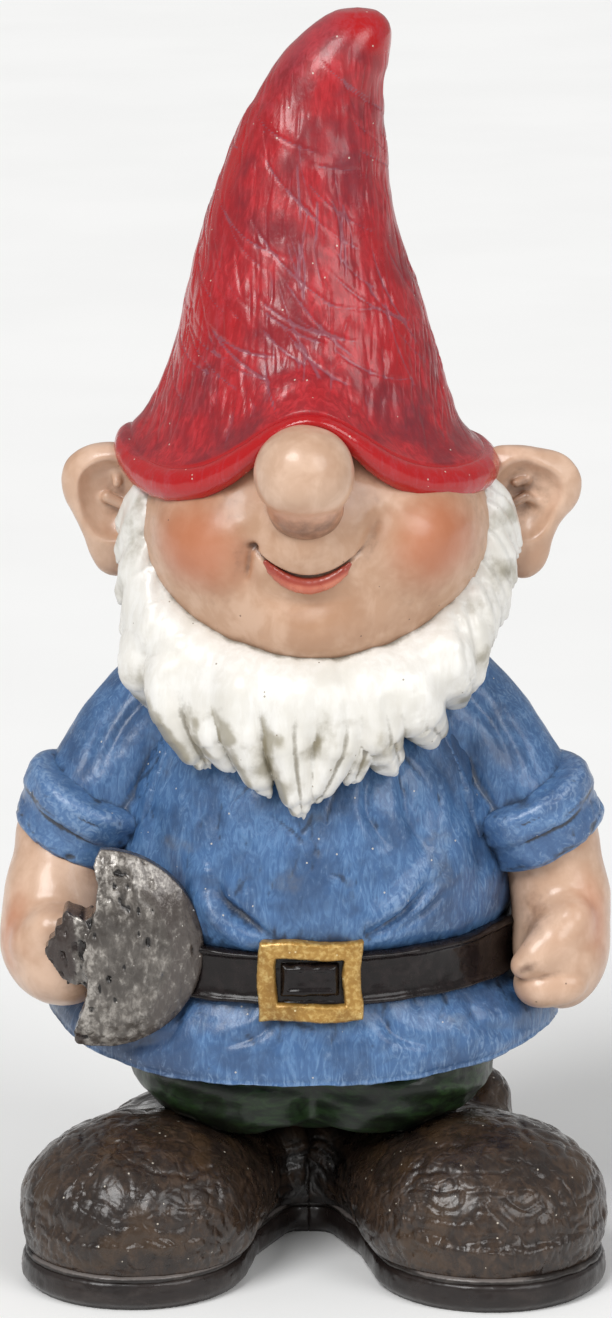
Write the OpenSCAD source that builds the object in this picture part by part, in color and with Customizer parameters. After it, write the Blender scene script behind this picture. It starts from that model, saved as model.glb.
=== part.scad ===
// Garden gnome: a cast figure, made as bonded castings with spigots, sockets and seats.
// Millimetres, +Z up. The figure faces -Y. "right" and "left" are the gnome's own: right is -X.
// The origin is on the ground, under the centre of the whole figure's box.

/* [Hat] */
// Half width of the hat's brim
brim_r = 46; // [44:0.5:49]
// Height of the brim's edge above the ground, at the sides and the back
brim_z = 194.5; // [192:0.5:196]
// How far the brim lifts over the nose
brim_arch = 16; // [10:1:18]
// How far the brim droops on either side of the nose
brim_droop = 5; // [0:0.5:6]
// Height of the hat's tip, which is the figure's height
hat_tip_z = 300; // [285:1:315]
// How far the hat's tip leans to the gnome's left
hat_lean = 12.5; // [0:0.5:16]

/* [Head] */
// Half width of the head
head_rx = 42.5; // [41:0.5:44]
// Half depth of the head
head_ry = 41; // [40:0.5:42]
// Radius of the ball of the nose
nose_r = 11.5; // [10:0.5:12.5]
// How far each ear stands out of the head
ear_reach = 21; // [17:0.5:24]
// Thickness of the beard and of the hair
beard_t = 7; // [6:0.5:8.5]

/* [Shirt] */
// Height of the neck opening
neck_z = 150; // [148:0.5:151]
// Half width of the hem
hem_rx = 62; // [59:0.5:64]
// Thickness of the shirt's hem and of the hat's brim
wall = 5; // [4:0.5:6]
// Length of each rolled cuff
cuff_l = 15; // [12:0.5:17]

/* [Belt] */
// Height of the lower edge of the belt
belt_z = 70.5; // [69:0.5:72]
// Width of the belt
belt_w = 13.5; // [11:0.5:15]
// Thickness of the belt
belt_t = 2.4; // [1.6:0.2:3]
// Width of the buckle
buckle_w = 24.5; // [20:0.5:28]
// Height of the buckle
buckle_h = 20; // [17:0.5:22]

/* [Boots] */
// Thickness of the soles
sole_t = 7; // [5:0.5:8]
// Thickness of the welts
welt_t = 1.4; // [1:0.2:2]
// Radius of the boots' round toes
toe_r = 29; // [27:0.5:30]
// Height of the boots
boot_top_z = 40.5; // [38:0.5:41]

/* [Tool] */
// Height of the blade, from horn to horn
blade_h = 48; // [42:1:52]
// Thickness of the blade
blade_t = 5; // [3:0.5:6]
// Diameter of the wooden handle
handle_d = 9; // [7:0.5:10]
// Length of the wooden handle
handle_l = 52; // [46:1:60]

/* [Hidden] */

// The figure's own axis stands behind the centre of its box, because the toes reach forward.
axis_place = [0.5, 6.5, 0];

ring_n = 48;            // points round a casting
gap = 0.15;             // bond line between two castings
head_x = 1.8;           // the head's centre
head_y = -7;
head_z = 177;
head_rz = 39;
nose_at = [-1, -53, 199];
ear_z = 181;
face_edge_a = 58;       // angle from the front at which the face gives way to the beard
beard_end_a = 88;       // the beard stops in front of the ears
hair_start_a = 106;     // the hair starts behind them
spigot_r = 20;          // neck joint
spigot_h = 9;
strap_top_z = belt_z + belt_w;

skin = [0.85, 0.64, 0.50];
shirt_blue = [0.24, 0.40, 0.66];
hat_red = [0.70, 0.08, 0.11];
hair_white = [0.90, 0.88, 0.83];
boot_brown = [0.22, 0.15, 0.11];
sole_black = [0.11, 0.09, 0.09];
belt_black = [0.12, 0.10, 0.10];

// ---------- curves and skins ----------

function catmull(p0, p1, p2, p3, t) =
    0.5 * (2 * p1 + (p2 - p0) * t + (2 * p0 - 5 * p1 + 4 * p2 - p3) * t * t
    + (3 * p1 - p0 - 3 * p2 + p3) * t * t * t);

// A smooth curve through the rows of keys, at u from 0 to 1.
function along(keys, u) =
    let (n = len(keys) - 1, i = min(floor(u * n), n - 1))
    catmull(keys[max(i - 1, 0)], keys[i], keys[i + 1], keys[min(i + 2, n)], u * n - i);

// The section at height z, from keys whose first column is the height.
function section_at(keys, z, i = 0) =
    i >= len(keys) - 2 || z < keys[i + 1][0]
        ? let (t = (z - keys[i][0]) / (keys[i + 1][0] - keys[i][0]))
          keys[i] * (1 - t) + keys[i + 1] * t
        : section_at(keys, z, i + 1);

function bump(x, width) = exp(-x * x / (width * width));

// A point of a section [z, rx, ry, cx, cy] at angle a: 0 is the front, 90 the gnome's left.
function section_point(s, a) = [s[3] + s[1] * sin(a), s[4] - s[2] * cos(a), s[0]];

function grown(s, d) = [s[0], s[1] + d, s[2] + d, s[3], s[4]];

function ring(s) = [for (i = [0:ring_n - 1]) section_point(s, i * 360 / ring_n)];

function reach(p) = norm([p[0], p[1]]);

// Triangles between rings of n points each. A closed skin joins its last ring to its first.
function band_faces(m, n, closed) = [
    for (j = [0:(closed ? m - 1 : m - 2)]) for (i = [0:n - 1])
        let (k = (j + 1) % m, l = (i + 1) % n)
            each [[j * n + i, k * n + i, k * n + l], [j * n + i, k * n + l, j * n + l]]
];

module skin_solid(rings, closed = false) {
    m = len(rings);
    n = len(rings[0]);
    flat = [for (r = rings) each r];
    bottom = [for (i = [0:n - 1]) i];
    top = [for (i = [0:n - 1]) m * n - 1 - i];
    polyhedron(flat, closed ? band_faces(m, n, true) : concat(band_faces(m, n, false), [bottom, top]));
}

// A thick sheet between an outer and an inner grid of points.
module thick_sheet(outer, inner) {
    loops = [for (i = [0:len(outer) - 1]) concat(outer[i], [for (j = [len(inner[i]) - 1:-1:0]) inner[i][j]])];
    m = len(loops);
    n = len(loops[0]);
    strip = [for (j = [0:n / 2 - 2]) each [[j, j + 1, n - 2 - j], [j, n - 2 - j, n - 1 - j]]];
    far_end = [for (f = strip) [for (k = [2:-1:0]) f[k] + (m - 1) * n]];
    polyhedron([for (l = loops) each l], concat(band_faces(m, n, false), strip, far_end));
}

// ---------- the head ----------

function head_section(z) =
    let (k = sqrt(max(0, 1 - pow((z - head_z) / head_rz, 2))))
    [z, head_rx * k, head_ry * k, head_x, head_y];

// Cheeks, chin and the mound under the nose, as a swelling of the face.
function face_swell(a, z) =
    3.2 * (bump(a - 36, 17) + bump(a + 36, 17)) * bump(z - 178, 10)
    + 2.2 * bump(a, 22) * bump(z - 160, 7)
    + 2.0 * bump(a, 15) * bump(z - 183, 6);

function signed(a) = a > 180 ? a - 360 : a;

function head_point(a, z, d = 0) = section_point(grown(head_section(z), d + face_swell(signed(a), z)), a);

function head_ring(z, d = 0) = [for (i = [0:ring_n - 1]) head_point(i * 360 / ring_n, z, d)];

function disc(z, r) = ring([z, r, r, 0, 0]);

function disc_oval(z, rx, ry) = ring([z, rx, ry, 0, 0]);

crown_z = head_z + head_rz - 0.6;    // the head's flat top, inside the hat

module head_casting() {
    outer = [for (z = [neck_z + 2, 156, 160, 165, 170, 175, 180, 185, 190, 196, 202, 208, 212, crown_z]) head_ring(z)];
    neck = [disc(neck_z - spigot_h, spigot_r - gap), disc(neck_z + gap, spigot_r - gap), ring([neck_z + gap, 27, 25, 0, -2])];
    skin_solid(concat(neck, outer));
}

module nose_spigot(r) {
    translate(nose_at) rotate([-76, 0, 0]) cylinder(r = r, h = 18, $fn = 32);
}

module nose_ball(d) {
    translate(nose_at) sphere(r = nose_r + d, $fn = 48);
}

module ear_spigot(side, r) {
    translate([head_x + side * (head_rx - 4), -2, ear_z]) rotate([0, side * 90, 0]) cylinder(r = r, h = 8, $fn = 32);
}

lip_r = 10.5;
module lip(r) {
    translate([-0.5, head_y - head_ry - 0.6, 182]) rotate([90, 0, 0]) rotate([0, 0, 232])
        rotate_extrude(angle = 76, $fn = 48) translate([lip_r, 0]) circle(r = r, $fn = 24);
}

module head() {
    color(skin) difference() {
        head_casting();
        nose_ball(gap);
        nose_spigot(5 + gap);
        for (side = [-1, 1]) ear_spigot(side, 4 + gap);
        lip(2.2 + gap);
    }
}

module nose() {
    color(skin) {
        nose_ball(0);
        nose_spigot(5);
    }
}

module lower_lip() {
    color([0.72, 0.36, 0.26]) lip(2.2);
}

// A shell on the side of the head, broad at the top and narrow at the lobe, hollowed towards the front.
module ear(side) {
    color(skin) {
        difference() {
            translate([head_x, -2, ear_z]) scale([side, 1, 1]) hull() {
                translate([head_rx + 3, 0, 9]) scale([4, 4, 6]) sphere(r = 1, $fn = 20);
                translate([head_rx + ear_reach - 8, 1, 5.5]) scale([8, 4.5, 8]) sphere(r = 1, $fn = 28);
                translate([head_rx + ear_reach - 13, 0, -8.5]) scale([6.5, 4, 6.5]) sphere(r = 1, $fn = 28);
            }
            translate([head_x + side * (head_rx + ear_reach - 10.5), -7, ear_z + 1])
                scale([6, 5.5, 8.5]) sphere(r = 1, $fn = 48);
            translate([head_x, -2, ear_z]) rotate([0, side * 90, 0]) cylinder(r = 30, h = head_rx + 0.2, $fn = 32);
        }
        ear_spigot(side, 4);
    }
}

// ---------- the hat ----------

hat_top_z = 206.5;      // above here the hat is a plain cone
function hat_bend(z) = hat_lean * pow(max(0, (z - 250) / (hat_tip_z - 250)), 1.9) - 1;
hat_k = (hat_tip_z - hat_top_z) / 93.5;
function hat_key(h, r, cy) = let (z = hat_top_z + h * hat_k) [z, r, r - 0.4, hat_bend(z), cy];
hat_keys = [
    hat_key(0, 35.6, -3), hat_key(12, 32, -2.5), hat_key(24, 28.6, -2), hat_key(36, 25.2, -1.5), hat_key(48, 21.8, -1),
    hat_key(58, 19, -0.5), hat_key(67, 16.6, 0), hat_key(77, 13.8, 0), hat_key(84, 11.6, 0), hat_key(89.5, 8.4, 0),
    hat_key(92.4, 4.8, 0), hat_key(93.5, 1.6, 0)
];

function brim_lift(a) =
    let (b = abs(signed(a))) brim_arch * bump(b, 24) - brim_droop * bump(b - 42, 24);

// The flare from the brim's edge, at f = 0, to the crown, at f = 1.
function flare_point(a, f) =
    let (r = 35.6 + (brim_r - 35.6) * pow(1 - f, 1.9), z = brim_z + (hat_top_z - brim_z) * f)
    section_point([z + brim_lift(a) * pow(1 - f, 2) * (1 - f / 3), r, r, -0.5, -3.5 + 0.5 * f], a);

function towards_axis(p, d) = let (c = [0, -4, p[2]], v = p - c) c + v * (1 - d / norm(v));

function hat_inside(p, a) =
    let (in = towards_axis(p, wall), h = head_point(a, p[2], 2 * gap + 1)) reach(in) > reach(h) ? in : h;

// The hat's socket, which follows the top of the head from the brim, at f = 0, to the crown, at f = 1.
function socket_point(a, f) =
    let (z = flare_point(a, 0)[2] + 1.5) head_point(a, z + (crown_z - z) * f, 2 * gap) + [0, 0, gap * f];

module hat() {
    angles = [for (i = [0:ring_n - 1]) i * 360 / ring_n];
    socket = [for (f = [1, 0.85, 0.65, 0.4, 0]) [for (a = angles) socket_point(a, f)]];
    under = [for (a = angles) hat_inside(flare_point(a, 0) + [0, 0, 1.5], a)];
    lip_ring = [for (a = angles) towards_axis(flare_point(a, 0), 2) - [0, 0, 1]];
    over = [for (f = [0:0.2:0.8]) [for (a = angles) flare_point(a, f)]];
    crown = [for (j = [0:18]) ring(along(hat_keys, j / 18))];
    color(hat_red) difference() {
        skin_solid(concat(socket, [under, lip_ring], over, crown));
        nose_ball(gap);
    }
}

// ---------- the beard and the hair ----------

function shirt_point(a, z, d) = section_point(grown(section_at(shirt_keys, z), d), a);

// What lies behind the beard at angle a and height z: the head or the shirt, whichever reaches further.
function behind_beard(a, z) =
    let (h = head_point(a, max(z, head_z - head_rz + 10), 2 * gap), s = shirt_point(a, min(z, neck_z - 1), 2 * gap))
    let (p = z > neck_z || reach(h) > reach(s) ? h : s) [p[0], p[1], z];

function outward(p, d) = let (v = [p[0] - head_x, p[1] - head_y]) [p[0] + d * v[0] / norm(v), p[1] + d * v[1] / norm(v), p[2]];

function face_edge_z(a) =
    abs(a) < face_edge_a ? 176 - 22.5 * sqrt(1 - pow(a / face_edge_a, 2)) : min(194, 176 + 1.5 * (abs(a) - face_edge_a));

function beard_foot_z(a) = 116.5 + 29 * (1 - cos(0.9 * a)) + 3 * abs(sin(a * 5.5)) + 6 * bump(a - 62, 18);

// The lock's thickness from its top, t = 0, to its foot, t = 1.
function lock_t(t) = beard_t * (0.18 + 0.95 * sin(180 * pow(t, 0.8)) + 0.25 * t);

module hair_sheet(angles, top, foot) {
    rows = 10;
    inner = [for (i = [0:len(angles) - 1]) [for (j = [0:rows])
        behind_beard(angles[i], top[i] + (foot[i] - top[i]) * j / rows)]];
    outer = [for (column = inner) [for (j = [0:rows]) outward(column[j], lock_t(j / rows))]];
    color(hair_white) thick_sheet(outer, inner);
}

module beard() {
    n = 32;
    angles = [for (i = [0:n]) beard_end_a * (2 * i / n - 1)];
    hair_sheet(angles, [for (a = angles) face_edge_z(a)], [for (a = angles) beard_foot_z(a)]);
}

module back_hair() {
    n = 20;
    angles = [for (i = [0:n]) hair_start_a + (360 - 2 * hair_start_a) * i / n];
    hair_sheet(angles, [for (a = angles) brim_z - 2.5], [for (a = angles) 146 + 3 * abs(sin(a * 5.5))]);
}

// ---------- the shirt and the belt ----------

// Sections [z, half width, half depth, x, y], from the hem to the neck.
shirt_keys = [
    [51.5, hem_rx - 2, 50, 0, 0], [55, hem_rx, 52, 0, 0], [60, hem_rx - 1, 51.5, 0, 0], [65, hem_rx - 6, 49.5, 0, 0],
    [70.5, 50, 47.5, 0, 0], [84, 48.5, 47, 0, 0], [92, 49.5, 49, 0, 0], [102, 48.5, 48.5, 0, 0], [115, 45, 45.5, 0, 0],
    [128, 41, 40, 0, 0], [140, 36, 34, 0, 0], [neck_z, 29, 27, 0, 0]
];

seat_z = 62;            // the shirt stands on the trousers here
seat_rx = 47;
seat_ry = 41.5;

split_z = belt_z + belt_w / 2;    // the shirt's body and skirt meet behind the belt

// The body of the shirt above the belt, with the socket of the neck.
module shirt() {
    outer = [for (s = shirt_keys) if (s[0] > split_z) ring(s)];
    color(shirt_blue) skin_solid(concat([ring(section_at(shirt_keys, split_z))], outer,
        [disc(neck_z, spigot_r), disc(neck_z - spigot_h - 4, spigot_r)]));
}

// The flared skirt below it, with the seat of the trousers.
module shirt_skirt() {
    top = split_z - gap;
    seat = [for (s = [[seat_z + 6, -6], [seat_z, -6], [seat_z, 2]]) ring([s[0], seat_rx + s[1], seat_ry + s[1], 0, 0])];
    outer = [for (s = shirt_keys) if (s[0] < top) ring(s)];
    color(shirt_blue) skin_solid(concat(seat, [ring([51.5, hem_rx - wall, 46, 0, 0])], outer,
        [ring(section_at(shirt_keys, top))]));
}

// The shirt from the belt up, grown by d, which the arms' castings are cut to fit.
module shirt_solid(d) {
    skin_solid([for (s = shirt_keys) if (s[0] > belt_z - 1) ring(grown(s, d))]);
}

function belt_ring(z, d) = ring(grown(section_at(shirt_keys, z), d));

module belt() {
    z0 = belt_z;
    z1 = strap_top_z;
    edge = 0.6;
    color(belt_black) skin_solid([
        belt_ring(z1, gap), belt_ring(z0, gap), belt_ring(z0, belt_t - edge), belt_ring(z0 + edge, belt_t),
        belt_ring(z1 - edge, belt_t), belt_ring(z1, belt_t - edge)
    ], true);
}

// A curved plate that follows the front of the belt, as thick as t and set d in front of it.
module front_plate(w, h, d, t) {
    belt_front = 48 + belt_t;
    bend_r = 52;
    translate([0, bend_r - belt_front, belt_z + belt_w / 2 - h / 2])
        rotate([0, 0, -90 - w / bend_r * 90 / PI])
            rotate_extrude(angle = w / bend_r * 180 / PI, $fn = 96) translate([bend_r + d, 0]) square([t, h]);
}

bar_w = 4.2;            // width of the buckle's four bars
module buckle_frame() {
    color([0.72, 0.52, 0.16]) difference() {
        front_plate(buckle_w, buckle_h, 0.4, 3.4);
        front_plate(buckle_w - 2 * bar_w, buckle_h - 2 * bar_w, -1, 8);
    }
}

module buckle_strap() {
    color(belt_black) front_plate(buckle_w - 2 * bar_w - 1, buckle_h - 2 * bar_w - 1, 0.4, 2);
}

// ---------- the arms ----------

// Each arm's own places: the cuff's lower rim, the wrist and the fist.
cuff_foot = [57, -11, 101.7];
arm_tilt = 25;
arm_lean = 8;
fist_right = [60.5, -24, 79];
fist_left = [59.5, -20, 77];

module by_side(side) {
    mirror([side < 0 ? 1 : 0, 0, 0]) children();
}

// Puts children on the arm's axis, at the cuff's lower rim, with +Z up the sleeve.
module on_arm() {
    translate(cuff_foot) rotate([arm_lean, -arm_tilt, 0]) children();
}

// A chain of balls [x, y, z, r], each joined to the next.
module ball_chain(balls) {
    for (i = [0:len(balls) - 2])
        hull()
            for (b = [balls[i], balls[i + 1]])
                translate([b[0], b[1], b[2]]) sphere(r = b[3], $fn = 20);
}

sleeve_keys = [[26, 0, 138, 12], [33, -1, 134, 13], [41, -3, 125, 13.6], [47.5, -6, 115, 13.8], [52, -8, 107, 13.8]];

module sleeve(side) {
    color(shirt_blue) by_side(side) difference() {
        ball_chain([for (i = [0:8]) along(sleeve_keys, i / 8)]);
        shirt_solid(gap);
        on_arm() translate([-40, -40, cuff_l + gap - 60]) cube([80, 80, 60]);
    }
}

forearm_r = 11.4;
socket_depth = 10;      // how far the forearm goes into the cuff

module cuff(side) {
    bulge = 1.2;
    color(shirt_blue) by_side(side) difference() {
        on_arm() rotate_extrude($fn = 48) polygon([
            [0, socket_depth + 1], [forearm_r - 0.9 + gap, socket_depth + 1], [forearm_r - 0.9 + gap, 0], [14.2, 0], [15, 1.5],
            [15 + bulge, 6], [15 + bulge, cuff_l - 4], [15, cuff_l - 1], [14, cuff_l], [0, cuff_l]
        ]);
        shirt_solid(gap);
    }
}

// From the wrist up into the cuff's socket.
module forearm(side, fist) {
    color(skin) by_side(side) difference() {
        union() {
            on_arm() translate([0, 0, -1]) cylinder(r = forearm_r - 0.9, h = socket_depth + 1, $fn = 48);
            hull() {
                on_arm() translate([0, 0, -1.5]) cylinder(r = forearm_r, h = 1.2, $fn = 28);
                translate(fist + [0, 5, 7]) scale([1, 1, 0.7]) sphere(r = 12, $fn = 24);
            }
        }
        fist_ball(fist, gap);
        shirt_solid(gap);
    }
}

module fist_ball(fist, d) {
    translate(fist) scale([12 + d, 15 + d, 12.5 + d]) hull() sphere(r = 1, $fn = 24);
}

// A closed hand: the palm's ball, four curled fingers and the thumb over them.
module hand(side, fist, thumb) {
    finger_r = 4;
    color(skin) by_side(side) difference() {
        union() {
            fist_ball(fist, 0);
            for (i = [0:3]) hull() for (t = [0, 1, 2])
                translate([fist[0] - 5 - 3 * sin(60 * t), fist[1] + 6 - 8 * t, fist[2] - 9 + 5 * i]) sphere(r = finger_r, $fn = 14);
            hull() for (b = thumb) translate([b[0], b[1], b[2]]) sphere(r = b[3], $fn = 16);
        }
        belt_blank();
        if (side < 0) tool_line() cylinder(r = handle_d / 2 + gap, h = 120, center = true, $fn = 32);
    }
}

// The shirt below the arm, and the belt round it, as one solid with the bond line on it.
module belt_blank() {
    d = belt_t + gap;
    skin_solid([
        ring(grown(section_at(shirt_keys, 55), gap)), ring(grown(section_at(shirt_keys, 62), gap)),
        belt_ring(belt_z - gap, gap), belt_ring(belt_z - gap, d), belt_ring(strap_top_z + gap, d),
        belt_ring(strap_top_z + gap, gap), ring(grown(section_at(shirt_keys, 102), gap))
    ]);
}

function thumb_of(fist, tip) = [
    [fist[0] + 1, fist[1] - 6, fist[2] + 7, 5], [fist[0] - 4, fist[1] - 9, fist[2] + 4, 4.8], [tip[0], tip[1], tip[2], 4]
];

// ---------- the tool ----------

tool_at = [59, -46, 82.5];    // the middle of the socket, in the blade's plane

// The handle's line, along Y through the right hand. The hand is drawn mirrored, so this is too.
module tool_line() {
    translate(tool_at) rotate([-90, 0, 0]) children();
}

module on_tool() {
    mirror([1, 0, 0]) tool_line() children();
}

// The blade in its own plane: x towards the cutting edge, y up the figure.
module blade_outline() {
    edge_r = blade_h / 2;
    difference() {
        union() {
            difference() {
                translate([10, 0]) circle(r = edge_r, $fn = 96);
                translate([-60 + 6, -60]) square([60, 120]);
                for (y = [-1, 1]) translate([-0.5, y * 16.5]) circle(r = 9, $fn = 48);
            }
            translate([-4, -7.5]) square([16, 15]);
            circle(r = 7.5, $fn = 48);
        }
        circle(r = handle_d / 2 + 1.6 + gap, $fn = 48);
    }
}

module tool_blade() {
    color([0.42, 0.40, 0.38]) on_tool() mirror([1, 0, 0])
        translate([0, 0, -blade_t / 2]) linear_extrude(blade_t) blade_outline();
}

module tool_socket() {
    color([0.30, 0.29, 0.28]) on_tool() translate([0, 0, -blade_t / 2 - 0.5]) difference() {
        cylinder(r = handle_d / 2 + 1.6, h = blade_t + 2, $fn = 48);
        translate([0, 0, 0.8]) cylinder(r = handle_d / 2 + gap, h = 12, $fn = 48);
    }
}

module tool_handle() {
    knob_r = handle_d / 2 + 1.5;
    color([0.24, 0.14, 0.09]) on_tool() translate([0, 0, 0.4 - blade_t / 2]) {
        cylinder(r = handle_d / 2, h = handle_l - knob_r, $fn = 48);
        translate([0, 0, handle_l - knob_r]) sphere(r = knob_r, $fn = 48);
    }
}

// ---------- the trousers and the boots ----------

leg_x = 21;
leg_y = -6;
leg_foot_z = 30;

module leg(d) {
    skin_solid([for (z = [leg_foot_z - d, 46]) ring([z, 22 + d, 31 + d, leg_x, leg_y])]);
}

module trousers() {
    plug_rx = seat_rx - 6 - gap;
    plug_ry = seat_ry - 6 - gap;
    color([0.12, 0.26, 0.13]) {
        skin_solid([
            disc_oval(41, seat_rx - 1, seat_ry - 1), disc_oval(seat_z - gap, seat_rx - 1, seat_ry - 1),
            disc_oval(seat_z - gap, plug_rx, plug_ry), disc_oval(seat_z + 5, plug_rx, plug_ry)
        ]);
        for (side = [-1, 1]) by_side(side) leg(0);
    }
}

toe_at = [42, -36];
ball_at = [39, -18];
heel_at = [26.2, 6];
heel_r = 26;
ankle_r = 23;

module sole_outline(inset) {
    hull() {
        translate(toe_at) circle(r = toe_r - inset, $fn = 64);
        translate(ball_at) circle(r = toe_r + 1 - inset, $fn = 64);
        translate(heel_at) circle(r = heel_r - inset, $fn = 64);
    }
}

// Everything of the boot below the trouser leg, with the leg's socket.
module boot(side) {
    base_z = sole_t + welt_t;
    color(boot_brown) by_side(side) difference() {
        hull() {
            translate([0, 0, base_z]) linear_extrude(0.4) sole_outline(2.4);
            translate([toe_at[0], toe_at[1] + 1, 20]) scale([toe_r - 0.5, toe_r - 0.5, 13]) sphere(r = 1, $fn = 32);
            translate([ball_at[0], ball_at[1] - 3, 22]) scale([toe_r - 1, toe_r - 3, boot_top_z - 23]) sphere(r = 1, $fn = 32);
            translate([heel_at[0], heel_at[1], 20]) cylinder(r = heel_r - 1, h = 4, $fn = 32);
            translate([ankle_r + gap, heel_at[1] - 3, 30]) cylinder(r = ankle_r, h = boot_top_z - 30, $fn = 32);
        }
        leg(gap);
    }
}

module welt(side) {
    color([0.36, 0.32, 0.29]) by_side(side)
        translate([0, 0, sole_t]) linear_extrude(welt_t) sole_outline(1.2);
}

module sole(side) {
    color(sole_black) by_side(side) linear_extrude(sole_t) sole_outline(0);
}

// ---------- the parts ----------

translate(axis_place) {
    hat();
    head();
    nose();
    lower_lip();
    ear(-1);  // right_ear
    ear(1);  // left_ear
    beard();
    back_hair();
    shirt();
    shirt_skirt();
    sleeve(-1);  // right_sleeve
    sleeve(1);  // left_sleeve
    cuff(-1);  // right_cuff
    cuff(1);  // left_cuff
    forearm(-1, fist_right);  // right_forearm
    forearm(1, fist_left);  // left_forearm
    hand(-1, fist_right, thumb_of(fist_right, [50, -36, 88]));  // right_hand
    hand(1, fist_left, thumb_of(fist_left, [51, -34, 73]));  // left_hand
    belt();
    buckle_frame();
    buckle_strap();
    trousers();
    boot(-1);  // right_boot
    boot(1);  // left_boot
    welt(-1);  // right_welt
    welt(1);  // left_welt
    sole(-1);  // right_sole
    sole(1);  // left_sole
    tool_blade();
    tool_socket();
    tool_handle();
}
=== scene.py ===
"""A painted cast garden gnome, sculpted around its CAD frame.

Every piece is sculpted in millimetres about the figure's own axis, the centre of the shirt's box on the ground:
x is the gnome's left, -y the way it faces, z up. Smooth pieces are distance fields that are meshed by surface nets,
and sheets that wrap round the axis are grids of rings. Fine tool marks are moves of the mesh's own points.
Where a function takes a side, -1 is the gnome's right and 1 its left.
"""
import math

import bpy
import numpy as np
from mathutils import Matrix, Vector


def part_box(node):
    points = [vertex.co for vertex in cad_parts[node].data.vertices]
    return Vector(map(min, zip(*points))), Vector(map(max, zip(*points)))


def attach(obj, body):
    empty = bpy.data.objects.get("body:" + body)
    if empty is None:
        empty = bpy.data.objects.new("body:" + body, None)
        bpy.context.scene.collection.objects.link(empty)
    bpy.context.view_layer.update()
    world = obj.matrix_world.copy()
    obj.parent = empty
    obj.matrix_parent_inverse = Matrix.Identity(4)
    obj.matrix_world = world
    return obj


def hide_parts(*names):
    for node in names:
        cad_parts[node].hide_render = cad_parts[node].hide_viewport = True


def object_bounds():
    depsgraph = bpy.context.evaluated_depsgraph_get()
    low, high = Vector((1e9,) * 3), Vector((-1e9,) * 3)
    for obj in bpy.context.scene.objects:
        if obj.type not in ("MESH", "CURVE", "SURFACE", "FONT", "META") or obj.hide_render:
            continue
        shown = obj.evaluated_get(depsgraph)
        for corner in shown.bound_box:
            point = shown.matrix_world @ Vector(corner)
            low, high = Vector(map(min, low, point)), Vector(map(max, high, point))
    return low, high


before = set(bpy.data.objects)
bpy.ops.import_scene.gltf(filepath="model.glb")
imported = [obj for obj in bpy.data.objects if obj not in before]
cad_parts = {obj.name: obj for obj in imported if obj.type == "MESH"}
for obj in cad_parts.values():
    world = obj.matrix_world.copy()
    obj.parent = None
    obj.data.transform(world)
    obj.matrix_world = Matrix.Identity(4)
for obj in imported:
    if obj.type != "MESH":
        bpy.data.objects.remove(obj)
CAD_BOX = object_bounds()

MM = 0.001
COARSE = 1.0
FAR = 9.0                                # a field's value well away from its shape

AXIS = np.array([*np.mean(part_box("shirt"), 0)[:2], 0.0]) / MM


def box_mm(node):
    return [np.array(corner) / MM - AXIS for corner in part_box(node)]


# -------- masks and distance fields, all in millimetres

def length(v):
    return np.sqrt(np.einsum("...i,...i->...", v, v))


def smooth(x, low=0.0, high=1.0):
    t = np.clip((x - low) / (high - low), 0, 1)
    return t * t * (3 - 2 * t)


def bump(x, width):
    return np.exp(-(x / width) ** 2)


def patch(x, z, x0, z0, width, wide=1.0, tall=1.0):
    """A soft oval spot in the face's plane."""
    return bump(np.hypot((x - x0) / wide, (z - z0) / tall), width)


def spot(p, centre, width, squash=(1, 1, 1)):
    """A soft ball, stretched along each axis by squash."""
    return bump(length((p - centre) / squash), width)


def clip01(x):
    return np.clip(x, 0, 1)


def egg(p, centre, radii):
    radii = np.array(radii)
    q = (p - np.array(centre)) / radii
    k = length(q)
    return k * (k - 1) / np.maximum(length(q / radii), 1e-6)


def limb(p, a, b, ra, rb):
    pa, ba = p - a, b - a
    t = clip01(pa @ ba / (ba @ ba))
    return length(pa - t[:, None] * ba) - (ra + (rb - ra) * t)


def chain(p, rows, k=0.0):
    """Limbs through rows of [x, y, z, radius], found only near them."""
    rows = np.array(rows, float)
    at, radius = rows[:, :3], rows[:, 3]
    margin = radius.max() + FAR
    near = ((p > at.min(0) - margin) & (p < at.max(0) + margin)).all(1)
    out = np.full(len(p), FAR)
    q = p[near]
    if len(q):
        parts = [limb(q, at[i], at[i + 1], radius[i], radius[i + 1]) for i in range(len(rows) - 1)]
        out[near] = blend(k, *parts) if k else np.min(parts, 0)
    return out


def blend(k, *fields):
    out = fields[0]
    for other in fields[1:]:
        h = clip01(0.5 + 0.5 * (other - out) / k)
        out = other * (1 - h) + out * h - k * h * (1 - h)
    return out


def carve(k, field, tool):
    return -blend(k, -field, tool)


def both(*fields):
    """What lies inside every field."""
    out = fields[0]
    for other in fields[1:]:
        out = np.maximum(out, other)
    return out


def rounded(a, b, r):
    """What lies inside both fields, with the edge between them rounded to radius r."""
    return np.hypot(np.maximum(a + r, 0), np.maximum(b + r, 0)) - r


def turned(x=0.0, y=0.0, z=0.0):
    """The axes, as columns, after turns in degrees about x, then y, then z."""
    out = np.eye(3)
    for axis, angle in enumerate((x, y, z)):
        c, s = math.cos(math.radians(angle)), math.sin(math.radians(angle))
        i, j = (axis + 1) % 3, (axis + 2) % 3
        turn = np.eye(3)
        turn[i, i] = turn[j, j] = c
        turn[i, j], turn[j, i] = -s, s
        out = turn @ out
    return out


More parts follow.
